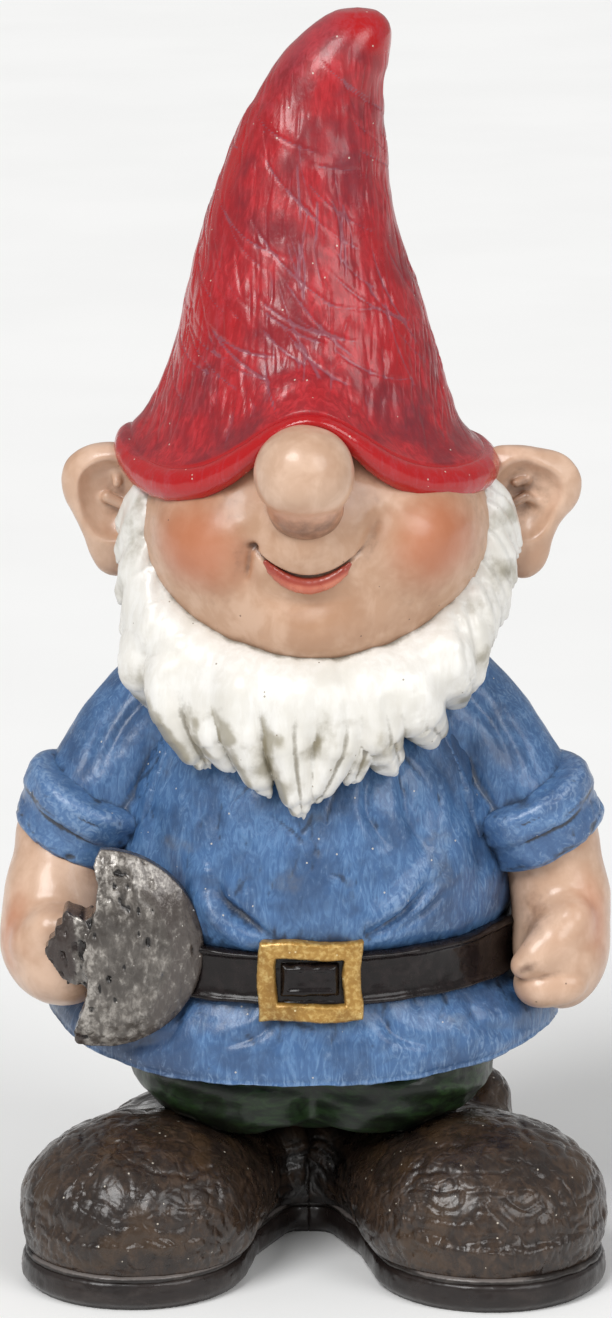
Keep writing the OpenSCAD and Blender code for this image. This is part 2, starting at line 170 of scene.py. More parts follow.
def spline(keys, x):
    """Every column of keys but the first, at x in the first column, by smooth steps between the rows."""
    keys = np.array(keys, float)
    t, v = keys[:, 0], keys[:, 1:]
    slope = np.gradient(v, t, axis=0)
    i = np.clip(np.searchsorted(t, x) - 1, 0, len(t) - 2)
    h = (t[i + 1] - t[i])[..., None]
    u = clip01((x - t[i]) / (t[i + 1] - t[i]))[..., None]
    return ((2 * u**3 - 3 * u**2 + 1) * v[i] + (u**3 - 2 * u**2 + u) * h * slope[i]
            + (3 * u**2 - 2 * u**3) * v[i + 1] + (u**3 - u**2) * h * slope[i + 1])


def curve(rows, n=8):
    """Rows of a smooth curve through the given rows."""
    rows = np.array(rows, float)
    return spline(np.column_stack([np.arange(len(rows)), rows]), np.linspace(0, len(rows) - 1, n))


LATTICE = np.random.default_rng(7).random(65536)


def mixed_corners(i, f, value):
    """The values at the eight corners of each cell i, mixed by how far in, f, a point lies."""
    out = 0
    for corner in range(8):
        o = np.array([corner & 1, corner >> 1 & 1, corner >> 2 & 1])
        out = out + value(i + o) * np.where(o, f, 1 - f).prod(1)
    return out


def noise(p, size, seed=0):
    """Smooth noise from -1 to 1, with features about as large as size (a number, or one for each axis)."""
    def value(c):
        return LATTICE[(c[:, 0] * 73856093 ^ c[:, 1] * 19349663 ^ c[:, 2] * 83492791 ^ seed * 2654435) & 65535]

    q = p / np.array(size) + 31.7
    i = np.floor(q).astype(np.int64)
    f = q - i
    return 2 * mixed_corners(i, f * f * (3 - 2 * f), value) - 1


def noise2(u, v, size, seed):
    """Noise over an unrolled surface."""
    return noise(np.stack([u, 0 * v, v], 1), (size[0], 1, size[1]), seed)


def lumps(p, *rows):
    """Noises added up, each (height, size, seed)."""
    return sum(height * noise(p, size, seed) for height, size, seed in rows)


# -------- meshes

class Mesh:
    """Points in millimetres, quads, end caps, and paint masks for each point."""

    def __init__(self, points, quads, caps=()):
        self.points, self.quads, self.caps, self.masks = points, quads, list(caps), {}
        if self.volume() < 0:
            self.quads = self.quads[:, ::-1]
            self.caps = [cap[::-1] for cap in self.caps]

    def triangles(self):
        q = self.quads
        fans = [np.column_stack([np.full(len(c) - 2, c[0]), c[1:-1], c[2:]]) for c in self.caps]
        return np.concatenate([q[:, [0, 1, 2]], q[:, [0, 2, 3]], *fans])

    def volume(self):
        a, b, c = (self.points[self.triangles()[:, i]] for i in range(3))
        return np.einsum("ij,ij->i", a, np.cross(b, c)).sum() / 6

    def normals(self):
        a, b, c, d = (self.points[self.quads[:, i]] for i in range(4))
        n = np.cross(c - a, d - b)
        out = np.stack([sum(np.bincount(self.quads[:, i], n[:, k], len(self.points)) for i in range(4))
                        for k in range(3)], 1)
        return out / np.maximum(length(out), 1e-9)[:, None]

    def worked(self, distance, **masks):
        """The mesh with its points moved out along its normals, and with masks that the paint reads."""
        self.points = self.points + self.normals() * distance[:, None]
        self.masks = {name: mask if name == "relief" else clip01(mask) for name, mask in masks.items()}
        return self


def rings(points, tube=False):
    """A skin over rings of points, (rings, points round a ring, 3), with flat ends, or joined up as a tube."""
    m, n = points.shape[:2]
    j, i = np.meshgrid(np.arange(m if tube else m - 1), np.arange(n), indexing="ij")
    k, l = (i + 1) % n, (j + 1) % m
    quads = np.stack([j * n + i, j * n + k, l * n + k, l * n + i], -1).reshape(-1, 4)
    caps = () if tube else (np.arange(n)[::-1], np.arange(n) + (m - 1) * n)
    return Mesh(points.reshape(-1, 3), quads, caps)


def steps(*spans):
    """Values over spans of (start, end, step), meeting end to end."""
    return np.concatenate([np.linspace(a, b, max(2, int((b - a) / (s * COARSE))), endpoint=False)
                           for a, b, s in spans])


BLOCK = 8                                # samples along a block's side
NEAR_BLOCK = 1.15                        # how far from the surface a block is still sampled, in blocks


def sculpt(field, low, high, step):
    """The surface where the field is zero, by surface nets. Only blocks of samples near it are worked out."""
    step = step * COARSE
    low = np.array(low, float)
    blocks = np.ceil((np.array(high) - low) / (step * BLOCK)).astype(int) + 1
    index = np.stack(np.meshgrid(*[np.arange(n) for n in blocks], indexing="ij"), -1).reshape(-1, 3)
    value = field(low + (index * BLOCK + (BLOCK - 1) / 2) * step)
    samples = value.reshape(blocks)
    for axis in range(3):
        samples = np.repeat(samples, BLOCK, axis)
    offsets = np.stack(np.meshgrid(*[np.arange(BLOCK)] * 3, indexing="ij"), -1).reshape(-1, 3)
    near = index[np.abs(value) < BLOCK * step * NEAR_BLOCK]
    for part in np.array_split(near, max(1, len(near) // 400)):
        cells = (part[:, None] * BLOCK + offsets).reshape(-1, 3)
        samples[tuple(cells.T)] = field(low + cells * step)
    return nets(samples, low, step, field)


def nets(s, low, step, field):
    """One point in each cell that the surface crosses, and a quad across each crossed edge."""
    inside = s < 0
    count = inside.astype(np.int8)
    for axis in range(3):
        count = np.moveaxis(count, axis, 0)
        count = np.moveaxis(count[:-1] + count[1:], 0, axis)
    active = (count > 0) & (count < 8)
    number = np.full(active.shape, -1)
    cells = np.argwhere(active)
    number[tuple(cells.T)] = np.arange(len(cells))
    total, hits = np.zeros((len(cells), 3)), np.zeros(len(cells))
    quads = []
    for axis in range(3):
        one, two, three = (np.eye(3, dtype=int)[(axis + k) % 3] for k in range(3))
        for corner in (0 * two, three, two, two + three):
            a = cells + corner
            va, vb = s[tuple(a.T)], s[tuple((a + one).T)]
            cut = (va < 0) != (vb < 0)
            t = np.where(cut, va / np.where(cut, va - vb, 1), 0)
            total[cut] += (a + t[:, None] * one)[cut]
            hits += cut
        ahead = np.moveaxis(inside, axis, 0)
        e = np.argwhere(np.moveaxis(ahead[:-1] != ahead[1:], 0, axis))
        e = e[((e - two - three) >= 0).all(1) & ((e + two + three) < np.array(s.shape)).all(1)]
        quad = np.stack([number[tuple((e - o).T)] for o in (0 * two, two, two + three, three)], 1)
        flip = inside[tuple(e.T)]
        quad[flip] = quad[flip][:, ::-1]
        quads.append(quad)
    points = low + total / hits[:, None] * step
    for _ in range(2):                       # slide the points onto the true surface
        h = step * 0.3
        here = field(points)
        slope = np.stack([field(points + h * e) - field(points - h * e) for e in np.eye(3)], 1) / (2 * h)
        move = here / np.maximum((slope**2).sum(1), 0.25)
        points = points - np.clip(move, -step, step)[:, None] * slope * 0.8
    return Mesh(points, np.concatenate(quads))


def strokes(rng, count, across, along, tilt, bend, reach, width, depth, bent=False):
    """Random brush or knife strokes. Tilt, and bend unless bent, are a middle and a spread; the rest are ranges."""
    curl = rng.uniform if bent else rng.normal
    return [(rng.uniform(*across), rng.uniform(*along), rng.normal(*tilt), curl(*bend), rng.uniform(*reach),
             rng.uniform(*width), rng.uniform(*depth)) for _ in range(count)]


def marks(drawn, across, along):
    """The relief of strokes in the unrolled plane of the two given coordinates."""
    relief = np.zeros(len(across))
    for s0, t0, tilt, bend, reach, width, depth in drawn:
        u, v = across - s0, along - t0
        near = (np.abs(u) < reach + 4) & (np.abs(v) < reach)
        a, b = u[near], v[near]
        c, s = math.cos(tilt), math.sin(tilt)
        x, y = a * c - b * s, a * s + b * c
        x = x - bend * y * y / reach
        relief[near] -= depth * smooth(1 - np.abs(y) / (reach * 0.5), 0, 0.5) * bump(x, width)
    return relief


# -------- the figure's main forms

HEAD = np.array([1.8, -7.0, 177.0])
HEAD_R = np.array([42.5, 41.0, 40.5])
NOSE = np.array([-1.0, -53.0, 199.0])
HAT_KEYS = [            # height before the brim is lifted, radius, lean to the gnome's left, and depth of the axis
    [196.9, 42, -0.2, -3.6], [198, 40.8, -0.5, -3.6], [200, 38.9, -0.7, -3.6], [202, 37.4, -0.9, -3.6],
    [204.5, 36.2, -1, -3.5], [208.5, 34.8, -0.8, -3.4], [214, 33, -0.7, -3.2], [218.5, 31.8, -0.7, -3],
    [224, 30.2, -0.8, -2.6], [230.5, 28.6, -1.2, -2.2], [236, 26.9, -1.5, -1.9], [242.5, 24.8, -1.9, -1.5],
    [248, 23.1, -1.9, -1.2], [254.5, 21.4, -1.65, -0.9], [259, 20.3, -1.3, -0.6], [264.5, 19.1, -0.6, -0.3],
    [269, 18.1, 0.1, 0], [273.5, 16.9, 0.8, 0], [276, 16.2, 1.5, 0], [280, 14.9, 2.6, 0],
    [283.5, 14, 3.8, 0], [286, 13.5, 5, 0], [289, 12.6, 6.3, 0], [292, 11.4, 7.9, 0],
    [295, 9.7, 9.5, 0], [297, 8, 10.4, 0], [298.5, 6, 10.9, 0], [299.4, 3.8, 11.2, 0],
    [299.9, 0.3, 11.4, 0]
]
SHIRT_KEYS = [          # height, half width, half depth
    [51.6, 58.5, 48.6], [52, 60.6, 50.4], [53.5, 61.6, 51.3], [57, 61.8, 51.5], [62, 60.6, 50.9],
    [66.5, 56.5, 49.4], [70.5, 51, 48], [77, 48.6, 47], [83, 49, 47.6], [86.5, 50.4, 49.4],
    [92, 50.8, 50.2], [100, 49.6, 49.6], [110, 47.2, 47.4], [120, 44, 44], [130, 40, 39],
    [140, 35.5, 33.5], [146, 32, 30], [149.8, 29, 27]
]
HEM_Z, COLLAR_Z = 51.6, 149.8


def shirt_radii(z):
    return spline(SHIRT_KEYS, np.clip(z, HEM_Z, COLLAR_Z)).T


def shirt_field(p):
    x, y, z = p.T
    rx, ry = shirt_radii(z)
    side = (np.sqrt((x / rx) ** 2 + (y / ry) ** 2) - 1) * np.minimum(rx, ry) * 0.95
    return both(side, z - COLLAR_Z, HEM_Z - z)


def chest_y(x, z):
    rx, ry = shirt_radii(np.atleast_1d(float(z)))
    return float(-ry[0] * math.sqrt(max(0.0, 1 - (x / rx[0]) ** 2)))


def around(p):
    """The angle about the figure's axis, in degrees from the front, and the distance round its skin."""
    angle = np.arctan2(p[:, 0], -p[:, 1])
    return np.degrees(angle), angle * np.hypot(p[:, 0], p[:, 1])


# -------- the hat

BRIM_R, BRIM_Z = 42.2, 192.4              # middle of the brim's rolled edge
ROLL_R, ROLL_Z = 3.8, 4.1                 # its half width and half height
SOCKET_R = 34                             # where the brim's underside meets the head


def brim_lift(angle):
    """The brim rises over the nose, and a little on the gnome's right."""
    return 15.4 * bump(angle, 25.5) + 4.0 * bump(angle + 95, 20)


def crown_rows(count):
    """Rows of the crown's profile, evenly spaced along it."""
    heights = np.linspace(HAT_KEYS[0][0], HAT_KEYS[-1][0], 1500)
    keys = spline(HAT_KEYS, heights)
    run = np.concatenate([[0], np.cumsum(np.hypot(np.diff(heights), np.diff(keys[:, 0])))])
    at = np.interp(np.linspace(0, run[-1], count), run, heights)
    return np.column_stack([at, spline(HAT_KEYS, at)])


def hat_strokes():
    """Short hatching on the crown, and longer arcs across it."""
    rng = np.random.default_rng(11)
    short = (strokes(rng, 520, (-100, 100), (201, 290), (0.03, 0.14), (0, 0.12), (5, 15), (0.28, 0.45), (0.1, 0.26))
             + strokes(rng, 150, (-50, 50), (203, 226), (0.05, 0.1), (0, 0.1), (5, 12), (0.3, 0.42), (0.12, 0.26)))
    arcs = []
    for count, *ranges in (
            (64, (-75, 75), (212, 254), (-0.9, 0.25), (0.2, 0.5), (16, 36), (0.26, 0.34), (0.16, 0.3)),
            (24, (-55, 55), (254, 284), (-1.1, 0.25), (0.1, 0.35), (14, 28), (0.26, 0.34), (0.16, 0.28)),
            (14, (-3, 10), (238, 264), (-0.15, 0.15), (-0.45, 0.45), (12, 22), (0.28, 0.36), (0.15, 0.28))):
        arcs += strokes(rng, count, *ranges, bent=True)
    return short, arcs


def hat():
    angle = steps((-180, -100, 1.7), (-100, 100, 0.78), (100, 180, 1.7))
    a = np.radians(angle)
    lift = brim_lift(angle)
    roll_z = ROLL_Z * (1 - 0.55 * bump(angle, 13))
    sway = 0.35 * np.sin(3 * a + 0.7)
    middle_z = BRIM_Z + lift + ROLL_Z - roll_z + sway
    wander = 0.4 * np.sin(2 * a + 0.6) + 0.3 * np.sin(7 * a)
    rows = []

    def ring(r, z, cx=-0.2, cy=-3.6):
        rows.append(np.stack([cx + r * np.sin(a), cy - r * np.cos(a), z + 0 * a], 1))

    for f in np.linspace(0, 1, int(6 / COARSE)):              # up inside the brim, out of sight in the head
        ring(SOCKET_R - 2 + 2 * f, 205 - 5 * f + 0.3 * lift)
    for f in np.linspace(0, 1, int(10 / COARSE))[1:-1]:       # the brim's underside
        ring(SOCKET_R + (BRIM_R - SOCKET_R) * f + wander * f,
             (200 + 0.3 * lift) * (1 - smooth(f)) + (middle_z - roll_z) * smooth(f))
    for turn in np.radians(np.linspace(-90, 72, int(30 / COARSE))):   # the rolled edge
        ring(BRIM_R + wander + ROLL_R * math.cos(turn), middle_z + roll_z * math.sin(turn))
    ring(BRIM_R + 0.1 + wander * 0.7, middle_z + roll_z - 0.45)
    for h, r, cx, cy in crown_rows(int(228 / COARSE)):
        ring(r + wander * (1 - smooth(h, 196, 206)), h + (lift + sway) * (1 - smooth(h, 196, 228)), cx, cy)
    mesh = rings(np.stack(rows))
    p = mesh.points
    x, y, z = p.T
    ang, arc = around(p)
    roll_top = np.interp(ang, angle, middle_z + roll_z)
    on_roll = 1 - smooth(z - roll_top + 0.25 * noise(p, 4, 12), -0.8, 0.5)
    on_crown = smooth(z - roll_top, 0, 4)
    short, arcs = (marks(drawn, arc, z) for drawn in hat_strokes())
    fibres = -np.abs(noise2(arc, z, (1.3, 12), 3)) * 0.12
    dabs = 0.22 * noise(p, (3.2, 3.2, 5), 4)
    wave = -0.5 * np.abs(np.sin((x - 2) / 3.2 + 1.2 * np.sin(z / 6))) * bump(x - 7, 8) * bump(z - 262, 16)
    below_tip = 1 - smooth(z, 283, 295)
    out = (lumps(p, (0.4, 13, 5), (0.18, 6, 6)) * (0.35 + 0.65 * on_crown) * below_tip
           + (short + arcs + fibres + dabs) * on_crown * below_tip
           + wave * on_crown * (y < 0) + 0.12 * noise(p, 2.5, 9) * on_roll)
    bright = np.clip(0.75 * bump(ang + 66, 26) * smooth(z, 205, 225) + 0.6 * bump(ang - 42, 16) * bump(z - 225, 16)
                     + 0.5 * noise(p, (9, 9, 16), 13), 0, 0.8) * on_crown
    stain = clip01(0.55 * bump(ang - 40, 26) * bump(z - 208, 10) + 0.4 * bump(ang + 20, 14) * bump(z - 218, 12)
                   + 0.7 * bump(ang - 30, 30) * bump(z - 262, 18)) * on_crown
    return mesh.worked(out, relief=(0.7 * short + 2.2 * arcs + fibres * 0.5) * on_crown * below_tip, stain=stain,
                       tint=both(on_roll, smooth(z + 0.7 * x, 296, 306), bright))


# -------- the face

def mouth_z(x):
    return 174.1 + 0.041 * x ** 2


def left_smile_x(x, z):
    """How far a point lies from the fold that runs down from the mouth's corner at negative x."""
    return x + 13.2 + 0.17 * (179.5 - z)


def face_relief(x, z):
    """How far the face stands out of the head's egg, seen from the front."""
    cheeks = 5.4 * patch(x, z, -24.4, 180, 11.5, 1.05) + 5.6 * patch(x, z, 26.6, 181, 11.5, 1.05)
    lip_mound = 4.6 * patch(x, z, -1, 181.5, 8.6, 1.25, 0.95)
    chin = 5.6 * patch(x, z, 1, 160, 8.5, 2)
    under_lip = -1.8 * patch(x, z, -0.5, 167.6 + 0.02 * x * x, 2.4, 3.2)
    nose_root = 3.0 * patch(x, z, -1, 192, 9, 1.1)
    nose_sides = 0.8 * patch(np.abs(x + 1), z, 14.5, 198, 8, 0.9)
    folds = (-1.9 * bump(left_smile_x(x, z), 2.4) * bump(z - 177.0, 7.0)
             - 2.2 * bump(x - 13.2 - 0.35 * (z - 181), 2.2) * bump(z - 182, 5.5))
    return cheeks + lip_mound + chin + under_lip + nose_root + nose_sides + folds


def mouth_mask(x, z):
    """How deep the mouth's slit, its corner at negative x and the fold under that corner are cut, from 0 to 1."""
    slit = (bump(z - mouth_z(x), 0.6) * smooth(x, -13.6, -11.6) * (1 - 0.6 * smooth(x, 8.2, 11))
            * (1 - smooth(x, 11.5, 13.5)))
    corner = patch(x, z, -12.3, 180.6, 1.1)
    fold = 0.4 * bump(left_smile_x(x, z) - 0.1, 0.6) * smooth(z, 171.5, 175) * (1 - smooth(z, 179.3, 180.6))
    return both(slit, corner, fold)


def face_y(x, z):
    q = 1 - ((x - HEAD[0]) / HEAD_R[0]) ** 2 - ((z - HEAD[2]) / HEAD_R[2]) ** 2
    return HEAD[1] - HEAD_R[1] * np.sqrt(np.maximum(q, 0.01)) - face_relief(x, z)


def head():
    angle = np.radians(steps((-180, -75, 4.5), (-75, -26, 0.8), (-26, 26, 0.45), (26, 75, 0.8), (75, 180, 4.5)))
    heights = steps((138.5, 150, 1.0), (150, 167, 0.5), (167, 185, 0.33), (185, 206, 0.55), (206, 217.4, 1.4))
    k = np.sqrt(1 - ((heights - HEAD[2]) / HEAD_R[2]) ** 2)[:, None]
    x = HEAD[0] + HEAD_R[0] * k * np.sin(angle)
    y = HEAD[1] - HEAD_R[1] * k * np.cos(angle)
    mesh = rings(np.stack([x, y, np.broadcast_to(heights[:, None], x.shape)], -1))
    p = mesh.points
    x, y, z = p.T
    front = smooth(-(y - HEAD[1]), 2, 16)
    mouth = mouth_mask(x, z) * front
    mesh.worked(front * face_relief(x, z) + lumps(p, (0.2, 7, 21), (0.05, 2.2, 22)))
    blush = both(patch(x, z, -23.6, 179.5, 9.2, 1.15, 1.1), patch(x, z, 27.5, 181.0, 9.2, 1.15, 1.1))
    # Painted shade in the smile folds, in the mouth's slit, beside and under the nose and under the cheeks.
    smile = (0.7 * bump(left_smile_x(x, z) + 1.8, 1.6) * bump(z - 177.0, 4.6)
             + 0.85 * bump(x - 13.4 - 0.35 * (z - 181), 2.2) * bump(z - 181.5, 4.6))
    shade = (0.34 * bump(z - 190, 8) * bump(x + 17.0, 6.5) + 0.25 * bump(z - 192, 8) * bump(x - 14.5, 4.5)
             + 0.36 * patch(x, z, -1, 187.5, 8) + 0.3 * patch(np.abs(x - 1.5), z, 22, 168, 7, 1, 0.7))
    # Darker towards the face's outer edge, with a dark dot at the nose's foot.
    rim = 0.3 * smooth(np.hypot(x - 1.5, (z - 179) / 0.92), 30, 37)
    dot = 0.3 * patch(x, z, -6, 187.5, 1.2)
    stain = front * clip01(mouth + 0.5 * smile + shade + rim + dot)
    return mesh.worked(-1.7 * mouth, tint=front * blush, stain=stain)


def nose():
    def field(p):
        ball = egg(p, NOSE, (11.6, 11.2, 11.3))
        base = egg(p, NOSE + [0.3, 3.2, -8.3], (8.6, 8.0, 7.6))
        return blend(3, ball, base, egg(p, NOSE + [0, 10, -2], (10, 9, 12)))

    mesh = sculpt(field, NOSE - [15, 15, 20], NOSE + [15, 22, 15], 0.5)
    p = mesh.points
    x, _, z = p.T
    under = 0.4 * bump(z - (NOSE[2] - 8.8) - 0.015 * x ** 2, 0.9)
    below = smooth(NOSE[2] - z, 2, 10)
    edge = smooth(np.hypot(x - NOSE[0], z - NOSE[2]), 8.5, 12)
    # The tint is orange paint low on the nose; the stain mask is painted shade on its underside.
    return mesh.worked(lumps(p, (0.22, 6, 31), (0.05, 2, 32)) - under, tint=0.55 * below,
                       stain=0.5 * smooth(NOSE[2] - z, 4, 14) + 0.25 * below * edge)


def lower_lip():
    x = np.linspace(-9.9, 9.3, 40)
    bow = np.sqrt(np.maximum(1 - ((x + 0.3) / 9.8) ** 2, 0))
    z = mouth_z(x) - 0.3 - 1.75 * bow
    rows = np.stack([x, face_y(x, z) + 0.5, z, 0.35 + 1.5 * bow], 1)

    def deepened(v):
        """Stretched in y, so that round limbs come out flattened."""
        return np.column_stack([v[:, 0], (v[:, 1] + 52) / 0.8 - 52, v[:, 2:]])

    mesh = sculpt(lambda p: chain(deepened(p), deepened(rows[::3]), 0.4) * 0.8, (-14, -58, 166), (13, -44, 183), 0.32)
    p = mesh.points
    return mesh.worked(0.1 * noise(p, 2.2, 41), tint=smooth(p[:, 2] - (mouth_z(p[:, 0]) - 1.9), -1, 0.9))


EAR_TIPS = {-1: (0.0, 0.6), 1: (-1.2, 3.2)}      # how far each ear's tip rises and reaches out


def ear(side):
    rise, reach = EAR_TIPS[side]
    root = HEAD + [side * 44, 5, 9]
    tip = HEAD + [side * (52.5 + reach), 5.8, 10.5 + rise]
    lobe = HEAD + [side * (47.5 + reach * 0.6), 5.0, -5.5 + rise * 0.4]

    def field(p):
        shell = blend(7, egg(p, root + [0, 0, 1], (7, 3.8, 8.5)), egg(p, tip, (7.6, 3.6, 7.8)),
                      egg(p, lobe, (6.4, 3.8, 7.4)), egg(p, root + [side * 5, 0, -3], (8, 3.8, 10)))
        bowl = egg(p, root + [side * 5.2, -5.4, -2.5], (7.6, 5.8, 9.6))
        scoop = egg(p, tip + [-side * 2.2, -5.2, -0.5], (5.2, 3.6, 4.8))
        shell = carve(1.6, carve(1.6, shell, bowl), scoop)
        fold = chain(p, [[*(root + [side * 2.0, -1.4, -4.5]), 1.0], [*(root + [side * 6.0, -1.2, -2.4]), 1.25],
                         [*(tip + [-side * 2.5, -1.0, -4.2]), 0.9]])
        edge = chain(p, [[*(root + [side * 3.5, -1.6, 1.0]), 0.9], [*(tip + [-side * 5.5, -1.5, 1.5]), 0.9]])
        return blend(1.4, blend(1.6, shell, fold), edge)

    low, high = HEAD + [min(side * 34, side * 70), -6, -22], HEAD + [max(side * 34, side * 70), 16, 26]
    mesh = sculpt(field, low, high, 0.5)
    p = mesh.points
    hollow = spot(p, root + [side * 4.5, -2, -2], 5.5, (1, 1, 1.5))
    stain = 0.3 * hollow if side < 0 else 0.6 * hollow + 0.25 * spot(p, tip, 9)
    return mesh.worked(lumps(p, (0.2, 5, 51), (0.05, 1.8, 52)), tint=0.25 * spot(p, lobe, 7), stain=stain)


# -------- beard and hair

BEARD_LOCKS = [         # root, belly and tip of each lock, with the belly's radius; a tip's depth is the chest's
    ((-38, -23, 156), (-39.4, -27, 147), (-33.6, None, 135.4), 5.4),
    ((-32, -33, 152), (-31.4, -37.5, 141), (-23.4, None, 125.4), 6.2),
    ((-24, -38, 149), (-22.6, -43, 136.5), (-17.4, None, 126.4), 5),
    ((-16, -41, 150), (-14.8, -47.5, 137), (-9.4, None, 121.2), 6),
    ((-5, -45, 149), (-4.6, -50.5, 135), (-1.4, None, 116.4), 5.8),
    ((6, -46, 147), (6.4, -50, 134.5), (0.2, None, 119.4), 5.6),
    ((11, -43, 144), (11.6, -47.5, 132.5), (9.4, None, 124), 3.8),
    ((15, -42, 149), (15.6, -46.5, 137.5), (19.6, None, 125.6), 6.4),
    ((24, -38, 151), (25, -42.5, 141.5), (30.2, None, 131), 6.6),
    ((32, -33, 158), (33.4, -36.5, 148.5), (34, None, 136.6), 5.8),
    ((36, -29, 161), (38, -31, 153.5), (38, -28, 142.2), 4.8),
    ((38, -26, 167), (41, -27, 160.5), (41.2, -22, 151.8), 4.3),
    ((40, -22, 171), (44, -21, 164), (44.4, -16, 155.4), 4),
    ((40, -20, 180), (45.2, -18, 172.5), (47.2, -13, 163), 4),
    ((40, -18, 186), (45.6, -14, 180), (49.6, -8, 170), 3.8),
    ((40, -16, 189), (44.6, -13, 184.5), (48.8, -7, 176), 3.4),
    ((-37, -17, 189), (-40.8, -14, 184), (-45.2, -8, 176), 3.6),
    ((-37.6, -19, 184), (-41, -17, 178), (-45.4, -11, 169.6), 3.9),
    ((-37.2, -22, 176), (-40.4, -20, 169.5), (-44.6, -14, 160.5), 4.2),
    ((-36.6, -24, 169), (-39.6, -22.5, 161.5), (-43, -17, 151.5), 4.4),
    ((-36, -25, 162), (-38.8, -25, 154), (-40.4, -20, 144.2), 4.6),
]
BEARD_BASE = [          # the mass under the locks, along the jaw
    (-37.4, -16, 190, 2.8), (-38.2, -18, 182, 4.2), (-38, -21, 169, 5.4), (-33.5, -27, 157, 8),
    (-25, -33, 149.4, 9.6), (-13, -40.5, 144.6, 10.8), (0, -43, 143, 11.3), (13, -40.5, 144.6, 10.8),
    (25, -33, 149.4, 9.8), (34.5, -27, 157.5, 8), (39.4, -21, 169, 5.4), (41, -17, 182, 4.2),
    (40.6, -16, 190, 2.8)
]
TIP_OFF_CHEST = 2.4


def lock_rows(root, belly, tip, radius, n=9):
    """Rows of a lock's balls: thick at its belly, and drawn out to a thin tip."""
    if tip[1] is None:
        tip = (tip[0], chest_y(tip[0], tip[2]) - TIP_OFF_CHEST, tip[2])
    root, belly, tip = (np.array(v, float) for v in (root, belly, tip))
    upper = (root + belly) / 2 + (belly - (root + tip) / 2) * 0.25
    lower = belly * 0.42 + tip * 0.58 + (belly - root) * 0.06
    r = radius * np.interp(np.linspace(0, 1, n), [0, 0.25, 0.5, 0.75, 0.9, 1], [0.55, 0.95, 1.0, 0.72, 0.38, 0.1])
    return np.column_stack([curve([root, upper, belly, lower, tip], n), r])


def strand(p, locks):
    """Where a point lies on the nearest lock: across it from -1 to 1, along it from 0 to 1, and its number."""
    best = np.full(len(p), 1e9)
    across, along, which = np.zeros(len(p)), np.zeros(len(p)), np.zeros(len(p), int)
    for number, rows in enumerate(locks):
        for i, (a, b) in enumerate(zip(rows[:-1], rows[1:])):
            pa, ba = p - a[:3], b[:3] - a[:3]
            t = clip01(pa @ ba / (ba @ ba))
            radius = a[3] + (b[3] - a[3]) * t
            d = length(pa - t[:, None] * ba) - radius
            near = d < best
            side = np.cross(ba, [0.35, -1.0, 0.2])
            side /= np.linalg.norm(side)
            best[near] = d[near]
            across[near] = (pa[near] @ side) / np.maximum(radius[near], 1.5)
            along[near] = (i + t[near]) / (len(rows) - 1)
            which[near] = number
    return across, along, which


def twisted(across, along, which, seed):
    """The relief of a lock: a crest and a groove that run along it and drift across, in millimetres."""
    rng = np.random.default_rng(seed)
    shift = rng.uniform(-0.3, 0.3, 64)[which]
    drift = rng.uniform(-0.6, 0.6, 64)[which] * along
    u = across - shift - drift
    inside = 1 - smooth(np.abs(across), 0.8, 1.15)
    return inside * (0.8 * bump(u - 0.35, 0.38) - 0.8 * bump(u + 0.2, 0.22))


def beard():
    locks = [lock_rows(*lock) for lock in BEARD_LOCKS]

    def field(p):
        out = blend(4, chain(p, BEARD_BASE, 3), egg(p, (0, -30, 142), (31, 20.5, 13.5)))
        k = 0.7 + 4.0 * smooth(p[:, 2], 128, 150) * (1 - 0.6 * smooth(np.abs(p[:, 0]), 30, 40))
        return blend(k, out, *(chain(p, rows) for rows in locks))

    mesh = sculpt(field, (-53, -64, 112), (56, 6, 200), 0.58)
    p = mesh.points
    across, along, which = strand(p, locks)
    lower = smooth(150 - p[:, 2], 0, 16)
    side = smooth(np.abs(p[:, 0]), 32, 39)
    cut = (0.12 + 0.65 * np.maximum(lower, 0.85 * side)) * twisted(across, along, which, 62)
    gap = smooth(np.abs(across) + 0.25 * noise(p, 3, 69), 0.7, 1.05)
    # Painted shade between the locks and towards the bottom, with blotches of dirt.
    dirt_and_shade = lower * (0.75 * gap + 0.1 + 0.75 * noise(p, 4, 65)) + 0.25 * smooth(145 - p[:, 2], 0, 14)
    return mesh.worked(cut + lumps(p, (0.3, 8, 63), (0.12, 3.4, 64)),
                       relief=np.minimum(cut, 0) * (0.15 + 0.7 * lower) - 0.22 * lower * gap,
                       stain=dirt_and_shade + side * (0.1 + 0.8 * noise(p, 6, 68)))


